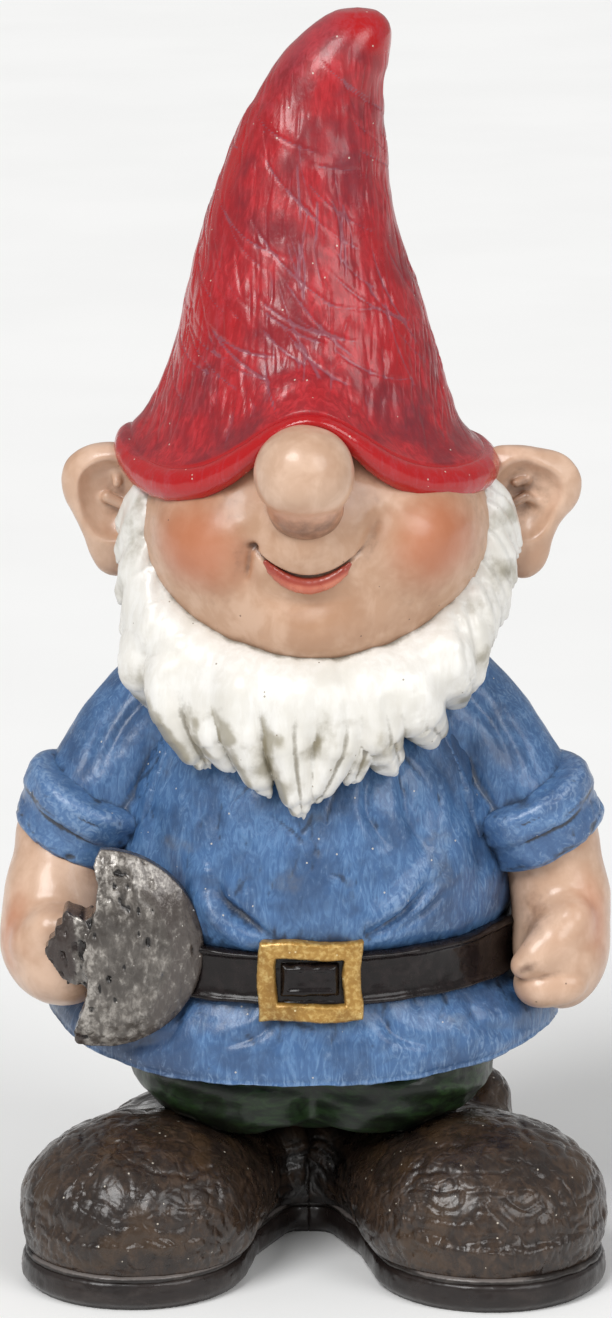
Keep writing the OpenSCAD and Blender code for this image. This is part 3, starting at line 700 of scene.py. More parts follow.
def back_hair():
    rng = np.random.default_rng(74)
    locks = []
    for a in np.radians(np.linspace(108, 252, 15)) + rng.normal(0, 0.02, 15):
        def at(r, z, turn=0.0):
            return 1.8 + r * math.sin(a + turn), -6 - r * math.cos(a + turn) * 1.08, z

        turn = rng.uniform(-0.14, 0.14)
        locks.append(lock_rows(at(38, 190), at(44.0, 170 + rng.uniform(-4, 4), 0.5 * turn),
                               at(43 + rng.uniform(-1, 1), rng.uniform(145.8, 150), 0.6 * turn),
                               rng.uniform(6.2, 7.6)))

    def field(p):
        out = carve(2.5, egg(p, (1.8, -1, 171), (45, 47.5, 28)), 11 - p[:, 1])
        k = 0.9 + 3.5 * smooth(p[:, 2], 152, 174)
        return np.maximum(blend(k, out, *(chain(p, rows) for rows in locks)), p[:, 2] - 194.2)

    mesh = sculpt(field, (-54, 0, 142), (56, 58, 197), 0.8)
    p = mesh.points
    across, along, which = strand(p, locks)
    cut = (0.35 + 0.5 * smooth(172 - p[:, 2], 0, 16)) * twisted(across, along, which, 72)
    lower = smooth(162 - p[:, 2], 0, 14)
    gap = smooth(np.abs(across) + 0.25 * noise(p, 3, 77), 0.7, 1.05)
    # Painted shade between the locks towards the bottom, with blotches of dirt.
    dirt_and_shade = lower * (0.6 * gap + 0.1 + 0.7 * noise(p, 5, 75)) + 0.5 * smooth(noise(p, 8, 78), 0.1, 0.8)
    return mesh.worked(cut + lumps(p, (0.3, 7, 73), (0.1, 3, 76)), stain=dirt_and_shade,
                       relief=np.minimum(cut, 0) * 0.7 - 0.15 * lower * gap)


# -------- shirt, sleeves and cuffs

SHIRT_CREASES = [       # paths in x and z over the front, with width and depth
    ([(-21.8, 98.5), (-20, 95), (-16, 91.6), (-9.7, 87.6)], 1.3, 2.6),
    ([(27.8, 98), (24.5, 94.5), (20, 91), (14.1, 87.6)], 1.2, 2.4),
    ([(31.5, 96), (27, 92), (20.5, 88)], 1, 1.2),
    ([(-37, 112), (-33, 99), (-29, 90)], 2.6, 1),
    ([(-15, 101), (-17.5, 95), (-12, 90.5)], 1, 0.5),
    ([(39.5, 116), (41, 103), (38.5, 92)], 2.4, 0.9),
    ([(14.5, 126), (13.5, 117), (18, 109)], 1, 0.8),
    ([(22, 123), (23.5, 114), (27.5, 107)], 1.1, 0.9),
    ([(28, 128), (33, 121), (36, 112)], 1.3, 0.9),
    ([(7.5, 112), (6.5, 103), (9, 96)], 1.2, 0.4),
    ([(-8, 68.5), (-12, 64), (-19.5, 61)], 1, 0.8),
    ([(16, 68.5), (21, 63), (30, 59.5)], 1.2, 0.8),
    ([(-30, 68), (-34, 61), (-42, 57.5)], 1.5, 0.9),
    ([(37, 69), (42, 62), (50, 59)], 1.5, 0.9),
]
UNDER_HEM = [           # height, half width, half depth, on the way up to the hem from inside
    (60, 50, 42), (55, 53, 44.6), (53, 55.5, 46.2), (51.9, 57.4, 47.4)
]


def crease(x, z, path, width):
    """A groove's profile along a path, with a soft ridge beside it."""
    rows = curve(path, 10)
    best, side, along = np.full(len(x), 1e9), np.zeros(len(x)), np.zeros(len(x))
    for i, (a, b) in enumerate(zip(rows[:-1], rows[1:])):
        d = b - a
        t = clip01(((x - a[0]) * d[0] + (z - a[1]) * d[1]) / (d @ d))
        ex, ez = x - a[0] - t * d[0], z - a[1] - t * d[1]
        r = np.hypot(ex, ez)
        near = r < best
        best[near] = r[near]
        side[near] = np.sign(ex * d[1] - ez * d[0])[near]
        along[near] = (i + t[near]) / (len(rows) - 1)
    fade = np.sin(np.pi * clip01(along * 0.86 + 0.07)) ** 0.6
    return fade * (bump(best, width) - 0.55 * (1 + 0.6 * side) * bump(best - 2.8 * width, width * 2.0))


def creases(x, z, rows):
    return sum(depth * crease(x, z, path, width) for path, width, depth in rows)


def hem_rise(a):
    """How much higher the hem is than in the keys: lowest at the front, highest at the sides."""
    return 2.4 - 1.75 * np.cos(a) - 2.1 * np.cos(2 * a) + 0.5 * np.sin(3 * a + 0.5) + 0.35 * np.sin(5 * a + 2.0)


def shirt():
    a = np.radians(np.linspace(-180, 180, int(390 / COARSE), endpoint=False))
    heights = steps((HEM_Z, 54, 0.25), (54, 68, 0.5), (68, 84, 0.8), (84, 128, 0.45), (128, COLLAR_Z, 1.0))
    heights = np.append(heights, COLLAR_Z)
    z, rx, ry = (np.concatenate(column)[:, None] for column in zip(
        np.array(UNDER_HEM).T, (heights, *spline(SHIRT_KEYS, heights).T)))
    skirt = 1 - smooth(z, 54, 69)
    mesh = rings(np.stack([(rx + 0.6 * skirt) * np.sin(a) - 1.2 * skirt, -ry * np.cos(a) + 0 * z,
                           z + hem_rise(a) * skirt], -1))
    p = mesh.points
    x, y, z = p.T
    front = smooth(-y, 4, 14)
    _, arc = around(p)
    folds = creases(x, z, SHIRT_CREASES) * front
    skirt = 1 - smooth(z, 62, 70)
    ripple = 0.7 * np.sin(arc / 6.2 + 1.3 * noise(p, 24, 80)) * (0.25 + 0.75 * (y > 0)) * skirt
    drape = 0.9 * noise2(arc, z, (11, 30), 81) * smooth(z, 84, 96)
    dabs = 0.22 * noise2(arc, z, (3.4, 7), 82)
    fine = -0.15 * np.abs(noise2(arc + 2.4 * noise(p, 16, 84), z + 0.5 * arc * skirt, (1.3, 11), 83))
    scratches = marks(strokes(np.random.default_rng(17), 560, (-150, 150), (54, 140), (0, 0.45), (0, 0.3), (5, 16),
                              (0.35, 0.6), (0.08, 0.28)), arc, z)
    outside = smooth(np.hypot(x / 57, y / 48) + smooth(z, 60, 66), 0.97, 1.02)
    out = outside * (0.35 * ripple - folds + drape * 0.8 + dabs + fine + scratches + 0.25 * noise(p, 8, 86) - 0.2)
    worn = 0.5 * bump(x - 0.5, 9) * bump(z - 113, 7) * front * (0.5 + 0.8 * noise(p, 5, 87))
    # Painted shade, laid on by the tint mask: on the skirt at the gnome's right, under the beard, down the sides and in
    # the creases.
    shaded = (0.9 * smooth(-x, 20, 40) * (1 - smooth(z, 60, 76)) + 0.7 * patch(x, z, 38, 128, 11, 1.2)
              + 0.5 * smooth(np.abs(x) + 0.5 * y, 26, 44) * smooth(z, 80, 96))
    grooves = np.maximum(folds, 0)
    return mesh.worked(out, relief=(fine + scratches) * outside,
                       tint=shaded + 0.35 * noise(p, 11, 89) + 0.35 * grooves,
                       stain=grooves * 0.3 + worn + 0.5 * smooth(noise(p, 7, 88), 0.35, 0.8))


SLEEVE = [[26, 0, 138, 12.3], [33, -1, 134, 13.2], [41, -3, 125, 13.8], [47.5, -6, 115, 13.9], [52.5, -8.6, 108, 13.6]]
SLEEVE_CREASES = [([(36, 140), (44, 131), (49, 121)], 1.5, 0.9), ([(37, 128), (40, 119), (44, 112)], 1.2, 1.3),
                  ([(33, 133), (37, 122), (41, 113.5)], 1.3, 1.0), ([(46, 134), (51, 127), (54, 120)], 1.3, 0.5)]
CUFF_FOOT = np.array([57, -11, 101.7])    # the middle of the left cuff's lower rim
ARM_TURN = turned(x=8, y=-25)
SLEEVE_END = 12.0                         # the sleeve ends this far inside the cuff


def on_arm(p, side):
    """A point's place along the arm's axis from the cuff's lower rim, and its place across the axis."""
    q = (p * [side, 1, 1] - CUFF_FOOT) @ ARM_TURN
    return q[:, 2], q[:, :2]


def sleeve(side):
    rows = curve(SLEEVE, 9) * [side, 1, 1, 1]

    def field(p):
        arm = chain(p, rows, 3)
        return both(blend(7, arm, shirt_field(p) + 0.45), arm - 6.5, SLEEVE_END - on_arm(p, side)[0])

    low_x, high_x = sorted((14 * side, 72 * side))
    mesh = sculpt(field, (low_x, -26, 98), (high_x, 24, 156), 0.7)
    p = mesh.points
    x, y, z = p[:, 0] * side, p[:, 1], p[:, 2]
    depth = creases(x, z, SLEEVE_CREASES) * smooth(-y, -4, 6)
    along, _ = on_arm(p, side)
    grain = -0.13 * np.abs(noise2(y + x * 0.3, along, (1.3, 10), 91))
    return mesh.worked(lumps(p, (0.35, 8, 92), (0.15, 3.5, 93)) - depth + grain, stain=depth * 0.5,
                       relief=grain - 0.1 * np.clip(depth, 0, 2))


def cuff(side):
    """A rolled cuff: a lower band, a groove and a fatter upper roll."""
    def field(p):
        along, off = on_arm(p, side)
        r = length(off / np.array([1.0, 1.04])) + 0.5 * noise(p, 11, 105 + side)
        band = rounded(np.abs(along - 4.6) - 5.2, r - 15.4, 2.2)
        roll = rounded(np.abs(along - 11.4) - 4.4, r - 16.7, 2.8)
        mouth = np.hypot(np.maximum(along + 1.0, 0) * 0.8, np.maximum(r - 11.8, 0)) - 0.9
        return np.maximum(carve(0.8, blend(1.1, band, roll), mouth), -(shirt_field(p) + 3.3))

    centre = CUFF_FOOT * [side, 1, 1]
    mesh = sculpt(field, centre - 26, centre + 28, 0.6)
    p = mesh.points
    along, off = on_arm(p, side)
    turn = np.arctan2(off[:, 1], off[:, 0]) * 15
    grain = -0.16 * np.abs(noise2(turn * 0.5 + along, along - turn * 0.3, (7, 1.2), 101))
    scratches = -0.8 * clip01(noise(np.stack([turn, along * 2.2, 0 * along], 1), (9, 2.2, 1), 102) - 0.38)
    chips = -0.6 * clip01(noise(p, (2.4, 2.4, 1.6), 106) + 0.5 * bump(along - 1.5, 1.5) - 0.55)
    relief = grain + scratches + chips
    return mesh.worked(relief + lumps(p, (0.5, 7.5, 103 + side), (0.2, 3, 104)), relief=relief,
                       stain=-3 * (scratches + chips))


# -------- arms and hands

FIST = {-1: np.array([-60.3, -24, 78.8]), 1: np.array([60.6, -20, 76.0])}


def balls(middle, *rows):
    """Rows of a chain, each (offset from the middle, radius)."""
    return [[*(middle + offset), radius] for offset, radius in rows]


def right_fist(p, f, arm):
    """A smooth mitten closed round the tool's handle, with one ridge where thumb and finger meet."""
    out = blend(7, chain(p, arm, 5), egg(p, f + [0.2, 0, -0.6], (12.4, 15.2, 14.0)))
    ridge = balls(f, ([-5, -9, 3], 4.4), ([-1, -11.6, 7.4], 4), ([5, -12.8, 7.6], 3.6), ([10, -11.5, 5], 3.4))
    return blend(3.6, blend(5, out, egg(p, f + [3.5, -8, -2], (9.5, 9.5, 9.5))), chain(p, ridge, 3))


def left_fist(p, f, arm):
    out = blend(6, chain(p, arm, 5), egg(p, f + [0.2, 0, -0.2], (10.4, 13.8, 13.6)))
    thumb = balls(f, ([1.5, -7.5, 9.5], 5), ([-2.6, -10.2, 5.4], 4.7), ([-6.6, -11.8, 1.8], 4.1),
                  ([-9.6, -12.2, -0.2], 3))
    fingers = blend(2, egg(p, f + [-5.2, -6.5, -6.2], (6.4, 8.6, 5.6)), egg(p, f + [-1, -9.6, -5.6], (7, 5.4, 5)))
    return blend(0.8, blend(4.0, out, chain(p, thumb, 2.5)), fingers)


def arm_and_fist(side):
    f, wrist = FIST[side], CUFF_FOOT * [side, 1, 1]
    if side < 0:
        arm = (balls(wrist, ([2.5, 1, 8], 11), ([-1, 0, 0], 11.2))
               + balls(f, ([-0.2, 6, 11], 11.4), ([-0.2, 5, 2], 11.8)))
        mesh = sculpt(lambda p: right_fist(p, f, arm), (-77, -48, 58), (-38, 8, 116), 0.6)
    else:
        arm = balls(wrist, ([-3, 1, 8], 11), ([0.6, 0, 0], 11)) + balls(f, ([0, 6, 12], 10.6), ([0, 4, 2], 10.4))
        mesh = sculpt(lambda p: left_fist(p, f, arm), (38, -46, 56), (75, 8, 116), 0.6)
    p = mesh.points
    below = smooth(70 - p[:, 2], 0, 6)
    if side < 0:
        tint = 0.55 * spot(p, f + [-11.5, -6, 6], 7, (1, 1, 2.2)) + 0.2 * spot(p, f + [2, -14, 2], 8)
        stain = (0.85 * spot(p, wrist + [5.5, -9, -4], 5, (1, 1.6, 1.5)) + 0.3 * below
                 + 0.5 * spot(p, f + [6, -15, -6], 5, (1, 1, 1.4)))
    else:
        smudge = spot((p - (f + [-8.6, -15, 0.2])) @ turned(y=-32), 0, 1.5, (2.4, 3, 0.9))
        line = spot((p - (f + [-5, -14.5, -2.4])) @ turned(y=-20), 0, 1.1, (4.5, 4, 0.9))
        tint = 0.65 * spot(p, f + [9, -6, 12], 7, (1, 1, 1.8)) + 0.25 * spot(p, f + [-2, -14, 6], 6)
        stain = 0.75 * smudge + 0.5 * line + 0.7 * spot(p, f + [-9, -9, 14], 5, (1.2, 1.6, 2.2)) + 0.25 * below
    seed = 116 + 5 * side
    return mesh.worked(lumps(p, (0.3, 8, seed), (0.05, 2, seed + 1)), tint=tint, stain=stain)


# -------- belt and buckle

BELT_LOW, BELT_HIGH = box_mm("belt")
BELT_T = 2.3
BUCKLE_LOW, BUCKLE_HIGH = box_mm("buckle_frame")
BUCKLE_Z = (BUCKLE_LOW[2] + BUCKLE_HIGH[2]) / 2
BUCKLE_HALF_W, BUCKLE_HALF_H = 12.1, (BUCKLE_HIGH[2] - BUCKLE_LOW[2]) / 2 - 0.3
BAR = 4.3
BELLY_R = 52.0                            # the radius of the belt's curve behind the buckle


def belt():
    angle = np.linspace(-180, 180, int(420 / COARSE), endpoint=False)
    a = np.radians(angle)
    ring_p = np.stack([np.sin(a), -np.cos(a), 0 * a], 1) * 50
    low = BELT_LOW[2] + 0.35 * noise(ring_p, 9, 131) + 0.3
    high = BELT_HIGH[2] + 0.35 * noise(ring_p, 9, 132) - 0.3
    thick = BELT_T + 1.1 * bump(np.abs(angle) - 72, 3.0) + 0.2 * noise(ring_p, 14, 133)
    inner = 0 * a - 0.8                                      # hidden in the shirt
    rows = [(low, inner)]
    for t in np.linspace(0, 1, int(26 / COARSE)):            # up the outside, over two raised edges
        edge = min(t, 1 - t)
        swell = 1 + 0.35 * bump(edge - 0.075, 0.05) - 1.1 * max(0, 0.045 - edge) / 0.045 * 0.35
        rows.append((low + (high - low) * t, thick * swell))
    rows.append((high, inner))
    points = []
    for z, d in rows:
        rx, ry = shirt_radii(z)
        points.append(np.stack([(rx + d) * np.sin(a), -(ry + d) * np.cos(a), z], 1))
    mesh = rings(np.stack(points), tube=True)
    p = mesh.points
    dents = lumps(p, (0.22, 5, 134), (0.1, 1.8, 135))
    return mesh.worked(dents, relief=dents * 0.5, stain=0.3 * noise(p, 6, 136))


def on_front(p):
    """Flattens the belt's curve at the front: x along it, y up from its middle, z out from the shirt."""
    x, y, z = p.T
    back = y - (BELLY_R - 48.0 - BELT_T)
    return np.arctan2(x, -back) * BELLY_R, z - BUCKLE_Z, np.hypot(x, back) - BELLY_R


def buckle_frame():
    def field(p):
        x, y, out = on_front(p)
        x = x + 0.35 * np.sin(y * 0.35 + 1) - 0.3
        y = y + 0.3 * np.sin(x * 0.3)
        x, y = np.abs(x) - BUCKLE_HALF_W, np.abs(y) - BUCKLE_HALF_H
        ring = np.maximum(np.maximum(x, y), -np.maximum(x + BAR, y + BAR))
        return np.maximum(rounded(ring, out - 2.1, 1.1), -(out + 1.5)) * 0.9

    (_, front, bottom), (_, back, top) = BUCKLE_LOW, BUCKLE_HIGH
    mesh = sculpt(field, (-15, front - 2, bottom - 2), (15, back + 3, top + 2), 0.36)
    p = mesh.points
    dents = lumps(p, (0.16, 3.2, 141), (0.08, 1.2, 142))
    return mesh.worked(dents, relief=dents, stain=0.4 * noise(p, 5, 143))


def buckle_strap():
    def field(p):
        x, y, out = on_front(p)
        pad = np.maximum(np.abs(x - 0.2) - 6.6, np.abs(y - 0.5) - 3.9)
        raised = rounded(pad, out - 1.45, 0.9) - 0.5 * bump(pad + 1.2, 0.6)
        floor = both(np.abs(x) - 9, np.abs(y) - 6.5, out)
        return np.maximum(np.minimum(raised, floor), -(out + 1.5))

    (_, front, bottom), (_, back, top) = BUCKLE_LOW, BUCKLE_HIGH
    mesh = sculpt(field, (-12, front - 2, bottom), (12, back + 4, top), 0.36)
    p = mesh.points
    dents = lumps(p, (0.2, 2.6, 151), (0.1, 1.1, 152))
    return mesh.worked(dents, relief=dents)


# -------- trousers, boots and soles

def trouser_shape(p):
    seat = egg(p, (0, 0, 58), (45, 41, 19))
    legs = [egg(p, (side * 21.5 + 0.8, -8, 47.5), (23.0, 31.8, 15.5)) for side in (-1, 1)]
    lobes = [egg(p, (side * 14.0 + 0.8, -22.5, 43.0), (17.0, 17.5, 11.0)) for side in (-1, 1)]
    crotch = egg(p, (0.8, 2, 41.5), (24, 27, 14.5))
    cleft = chain(p, [[0, -43, 29, 3.0], [0, -42, 39, 0.8]])
    return np.maximum(carve(2.5, blend(6, seat, blend(5, *legs, *lobes, crotch)), cleft), p[:, 2] - 66)


def trousers():
    mesh = sculpt(trouser_shape, (-50, -44, 28), (50, 44, 68), 0.8)
    p = mesh.points
    _, arc = around(p)
    pleats = -0.45 * np.abs(noise2(arc, p[:, 2] + 0.3 * arc, (5, 16), 161))
    roll = 0.28 * np.sin(p[:, 2] * 0.9 + 0.12 * arc)
    above_boots = np.minimum(boot_shape(p, -1), boot_shape(p, 1))
    return mesh.worked(pleats + roll + lumps(p, (0.4, 9, 162), (0.12, 2.4, 163)), relief=pleats * 0.4,
                       stain=bump(above_boots - 0.7, 0.55) * smooth(noise(p, 4, 164), -0.3, 0.4))


FEET = {                # toe, ball and heel of each foot in plan, x outwards, and their radii
    -1: [(41.6, -36.8, 26.8), (38.6, -18.0, 27.4), (25.9, 6.0, 25.6)],
    1: [(43.0, -37.4, 27.8), (39.5, -18.0, 28.0), (26.2, 6.0, 25.8)],
}
SOLE_TOP = box_mm("left_sole")[1][2]


def footprint(p, side, inset=0.0):
    """Distance from the sole's outline in plan, with the web that joins both feet."""
    q = p * [side, 1, 0]
    (toe, toe_r), (ball, ball_r), (heel, heel_r) = ((np.array([x, y, 0.0]), r) for x, y, r in FEET[side])
    foot = np.minimum(limb(q, toe, ball, toe_r, ball_r), limb(q, ball, heel, ball_r, heel_r))
    web = length(np.maximum(np.abs(q - [0, 4, 0]) - [5.0, 9.0, 0], 0)) - 2.5
    return blend(3, foot, web) + inset


def boot_shape(p, side):
    q = p * [side, 1, 1]
    toe_x, toe_y, toe_r = FEET[side][0]
    toe = egg(q, (toe_x - 1.7, toe_y + 3.6, 17.3), (toe_r + 2.3, 29.0, 20.4))
    instep = egg(q, (34.5, -12, 17), (27, 28, 15.6))
    heel = egg(q, (26.0, 6, 18), (24.6, 24.8, 14.5))
    out = blend(4, blend(7, toe, instep), heel, egg(q, (5, 4, 15), (12, 14, 16)))
    if side > 0:                             # the heel's counter stands out of the left boot only
        out = blend(4, out, egg(q, (43, 14, 26), (7, 9, 10)))
    return blend(5, out, np.maximum(footprint(p, side, 1.9), np.abs(p[:, 2] - 9) - 5))


def foot_mesh(field, side, bottom, height, step):
    """One foot's field, cut off at the middle between the feet."""
    low = np.array([-1 if side > 0 else -74, -68, bottom])
    return sculpt(lambda p: np.maximum(field(p), -0.12 - p[:, 0] * side), low, low + height, step)


def boot(side):
    floor = SOLE_TOP + 0.9

    def field(p):
        return both(boot_shape(p, side), floor - p[:, 2], -(trouser_shape(p) + 1.5))

    mesh = foot_mesh(field, side, 5, [75, 106, 40], 0.56)
    p = mesh.points
    x, y, rise = p.T
    arc = np.arctan2(x - side * 41, -(y + 24)) * 29
    warp = np.stack([noise(p, 6, seed) for seed in (171, 172, 173)], 1) * 2.6

    def cracks(q, size, seed):
        return -(1 - np.abs(noise(q + warp, size, seed + side))) ** 5

    bark = cracks(np.stack([arc, rise, 0 * arc], 1), (2.2, 7.5, 1), 178) * (1 - smooth(rise, 16, 26))
    above = smooth(rise, floor + 0.4, floor + 2.5)
    relief = above * (0.5 * cracks(p, (5.2, 5.2, 3.6), 174) + 0.16 * cracks(p, 2.3, 176) + 0.4 * bark)
    # The wash pushed onto the inner sides is painted shade between the boots.
    inner = 1 - smooth(x * side, 8, 20)
    return mesh.worked(relief + above * (lumps(p, (0.45, 8, 176), (0.2, 3.2, 179)) + 0.45),
                       relief=0.45 * (relief + 0.4 * above) - 0.35 * inner,
                       stain=above * (1 - inner) * smooth(noise(p, 7, 180), 0.05, 0.6))


def welt(side):
    def field(p):
        d = footprint(p, side, 0.5) + 0.3 * noise(p, 7, 181)
        return rounded(d, np.abs(p[:, 2] - (SOLE_TOP + 0.45)) - 0.85, 0.8)

    mesh = foot_mesh(field, side, 4, [75, 110, 8], 0.55)
    p = mesh.points
    top = smooth(p[:, 2], SOLE_TOP + 0.4, SOLE_TOP + 1.0)
    return mesh.worked(lumps(p, (0.16, 3, 182), (0.08, 1.2, 183)), relief=0.3 * noise(p, 4, 184),
                       stain=smooth(noise(p, (14, 14, 30), 185), -0.25, 0.3) * top)


def sole(side):
    def field(p):
        z = p[:, 2]
        belly = 0.5 * bump(z - 3.2, 2.6)
        d = footprint(p, side) + 0.25 * noise(p, 16, 191) + 0.1 - belly + 1.3 * smooth(2.6 - z, 0, 2.6) ** 1.6
        return np.maximum(rounded(d, z - SOLE_TOP, 0.9), -z)

    mesh = foot_mesh(field, side, -1, [75, 110, 11], 0.66)
    p = mesh.points
    scuffs = -0.3 * clip01(noise(p, (5, 5, 1.2), 195) - 0.35)
    mesh.worked(smooth(p[:, 2], 0.3, 2) * (lumps(p, (0.14, 4, 192), (0.07, 1.5, 193)) + scuffs),
                relief=0.2 * noise(p, 3, 194) + scuffs)
    mesh.points[:, 2] = np.maximum(mesh.points[:, 2], 0)
    return mesh


# -------- the tool

TOOL = np.array([-59.0, -46.0, 82.5])
BLADE_X, BLADE_Z, BLADE_R = -48.9, 83.1, 24.1        # the blade's arc
BEVEL = 19.0                              # how far in from the arc the blade goes on rising


def blade_outline(p):
    """Distances from the blade, from its ragged neck and from the disc that the blade is cut from."""
    x, z = p[:, 0] - BLADE_X, p[:, 2] - BLADE_Z
    ragged = lumps(p * [1, 0, 1], (0.5, 3.4, 201), (0.3, 1.4, 202))
    disc = np.hypot(x, z) - BLADE_R
    chord = -(x + 2.1 + 0.10 * (14 - z) - 1.6 * bump(z - 12, 7) + 1.0 * bump(z + 21, 5) - 1.3 * bump(z + 9, 6)) + ragged
    neck = np.hypot((p[:, 0] + 54.6) / 6.8, (p[:, 2] - 84.0) / 8.6) * 7 - 7 + 2.4 * ragged
    return -blend(1.6, -disc, -chord), neck, disc


def tool_blade():
    """A thick crescent, domed toward its arc, with a pitted face and a ragged neck that runs into the fist."""
    def field(p):
        x, y, z = p.T
        blade, neck, disc = blade_outline(p)
        slope = np.clip(-disc, 0, BEVEL) / BEVEL
        dome = TOOL[1] + 2.9 - 6.2 * (1 - (1 - slope) ** 2)
        plate = both(blade, dome - y, y - (TOOL[1] + 6))
        stub_front = TOOL[1] - 3.2 + 0.4 * np.maximum(-52.5 - x, 0) + 0.03 * (z - 84.6) ** 2
        return blend(1.6, plate * 0.8, both(neck, stub_front - y, y - (TOOL[1] + 10)) * 0.8)

    mesh = sculpt(field, (-64, TOOL[1] - 6, 56), (-22, TOOL[1] + 11, 110), 0.42)
    p = mesh.points
    _, _, disc = blade_outline(p)
    front = smooth(-mesh.normals()[:, 1], 0.05, 0.5)
    bevel = smooth(disc, -9.0, -6.0) * smooth(p[:, 0] - BLADE_X, 4, 16)
    pits = -clip01(noise(p * [1, 1, 0.42], 1.15, 205) + 0.3 * noise(p * [1, 1, 0.5], 0.8, 206) - 0.42)
    hammer = 0.8 * noise(p * [1, 1, 0.6], 2.8, 208) + 0.5 * noise(p * [1, 1, 0.5], 1.3, 211)
    where = smooth(noise(p, 8, 210) - 0.025 * (p[:, 0] - BLADE_X), -0.8, 0.0)
    relief = (1 - 0.75 * bevel) * front * (2.2 * pits * where + 0.42 * hammer)
    # The brown at the neck is paint; the darkening on faces turned from the front and near the arc's edge is painted
    # shade.
    brown = smooth(-p[:, 0] + 1.6 * noise(p, 3, 212), 53.0, 56.5)
    return mesh.worked(relief + bevel * 0.12 * noise(p, 6, 209), relief=relief, tint=bevel * front,
                       stain=brown + 0.8 * (1 - front) + 0.55 * smooth(disc, -4.5, 0) * front)


def tool_handle():
    front, back = TOOL[1] + 6, box_mm("tool_handle")[1][1]

    def field(p):
        r = np.hypot(p[:, 0] - TOOL[0], p[:, 2] - TOOL[2])
        shaft = both(r - 4.4, front - p[:, 1], p[:, 1] - (back - 5.8))
        return blend(0.8, shaft, egg(p, (TOOL[0], back - 5.9, TOOL[2]), (5.8, 5.8, 5.8)))

    mesh = sculpt(field, (TOOL[0] - 11, front - 2, TOOL[2] - 11), (TOOL[0] + 11, back + 2, TOOL[2] + 11), 0.5)
    grain = -0.25 * np.abs(noise(mesh.points, (1.2, 9, 1.2), 222))
    return mesh.worked(grain, relief=grain)


# -------- how deep each point lies among its neighbours

GRID_LOW, GRID_SHAPE, VOXEL = np.array([-80.0, -74.0, -8.0]), (160, 140, 316), 1.0
OFF_CORNERS = 0.137                       # keeps the columns off the round numbers where points are likely
THIN = 1e-12


def cross(u, v):
    return u[:, 0] * v[:, 1] - u[:, 1] * v[:, 0]


def solid_grid(meshes):
    """How much of each voxel is solid, from where columns of voxels cross the skins."""
    grid = np.zeros(GRID_SHAPE, np.float32)
    for mesh in meshes:
        corners = (mesh.points[mesh.triangles()] - GRID_LOW) / VOXEL
        first = np.ceil(corners[..., :2].min(1) - OFF_CORNERS).astype(int)
        wide = np.maximum(np.floor(corners[..., :2].max(1) - OFF_CORNERS).astype(int) - first + 1, 0)
        for column in np.ndindex(*wide.max(0)):
            use = (column < wide).all(1)
            a, b, c = corners[use].transpose(1, 0, 2)
            at = first[use] + column
            ab, ac, ap = b - a, c - a, at + OFF_CORNERS - a[:, :2]
            area = cross(ab, ac)
            safe = np.where(np.abs(area) < THIN, 1, area)
            u, v = cross(ap, ac) / safe, cross(ab, ap) / safe
            hit = (np.abs(area) > THIN) & (u >= 0) & (v >= 0) & (u + v < 1)
            hit &= ((at >= 0) & (at < GRID_SHAPE[:2])).all(1)
            z = (a[:, 2] + u * ab[:, 2] + v * ac[:, 2])[hit]
            x, y = at[hit].T
            sign = -np.sign(area[hit])
            k = np.clip(np.floor(z + 0.5), 0, GRID_SHAPE[2] - 2).astype(int)
            above = clip01(z + 0.5 - k)
            np.add.at(grid, (x, y, k), sign * (1 - above))
            np.add.at(grid, (x, y, k + 1), sign * above)
    return clip01(np.cumsum(grid, 2))


def blurred(grid, width):
    reach = int(math.ceil(2.2 * width))
    taps = np.exp(-0.5 * (np.arange(-reach, reach + 1) / width) ** 2)
    taps /= taps.sum()
    for axis in range(3):
        padded = np.moveaxis(np.pad(grid, [(reach, reach) if i == axis else (0, 0) for i in range(3)]), axis, 0)
        n = grid.shape[axis]
        grid = np.moveaxis(sum(w * padded[i:i + n] for i, w in enumerate(taps)), 0, axis)
    return grid


def sampled(grid, p):
    q = np.clip((p - GRID_LOW) / VOXEL, 0, np.array(GRID_SHAPE) - 1.001)
    i = q.astype(int)
    return mixed_corners(i, q - i, lambda c: grid[tuple(c.T)])


def add_crevices(meshes):
    """Gives every point a mask that is high in grooves and where pieces meet, and low on what stands out."""
    grid = solid_grid(meshes)
    fine, broad = blurred(grid, 1.3), blurred(grid, 3.6)
    for mesh in meshes:
        p = mesh.points + mesh.normals() * 0.25
        near, wide = (sampled(fine, p) - 0.47) * 2.4, (sampled(broad, p) - 0.5) * 2.6
        mesh.masks["crevice"] = 0.6 * (np.clip(near, -1, 1) + np.clip(wide, -1, 1))


# -------- paint

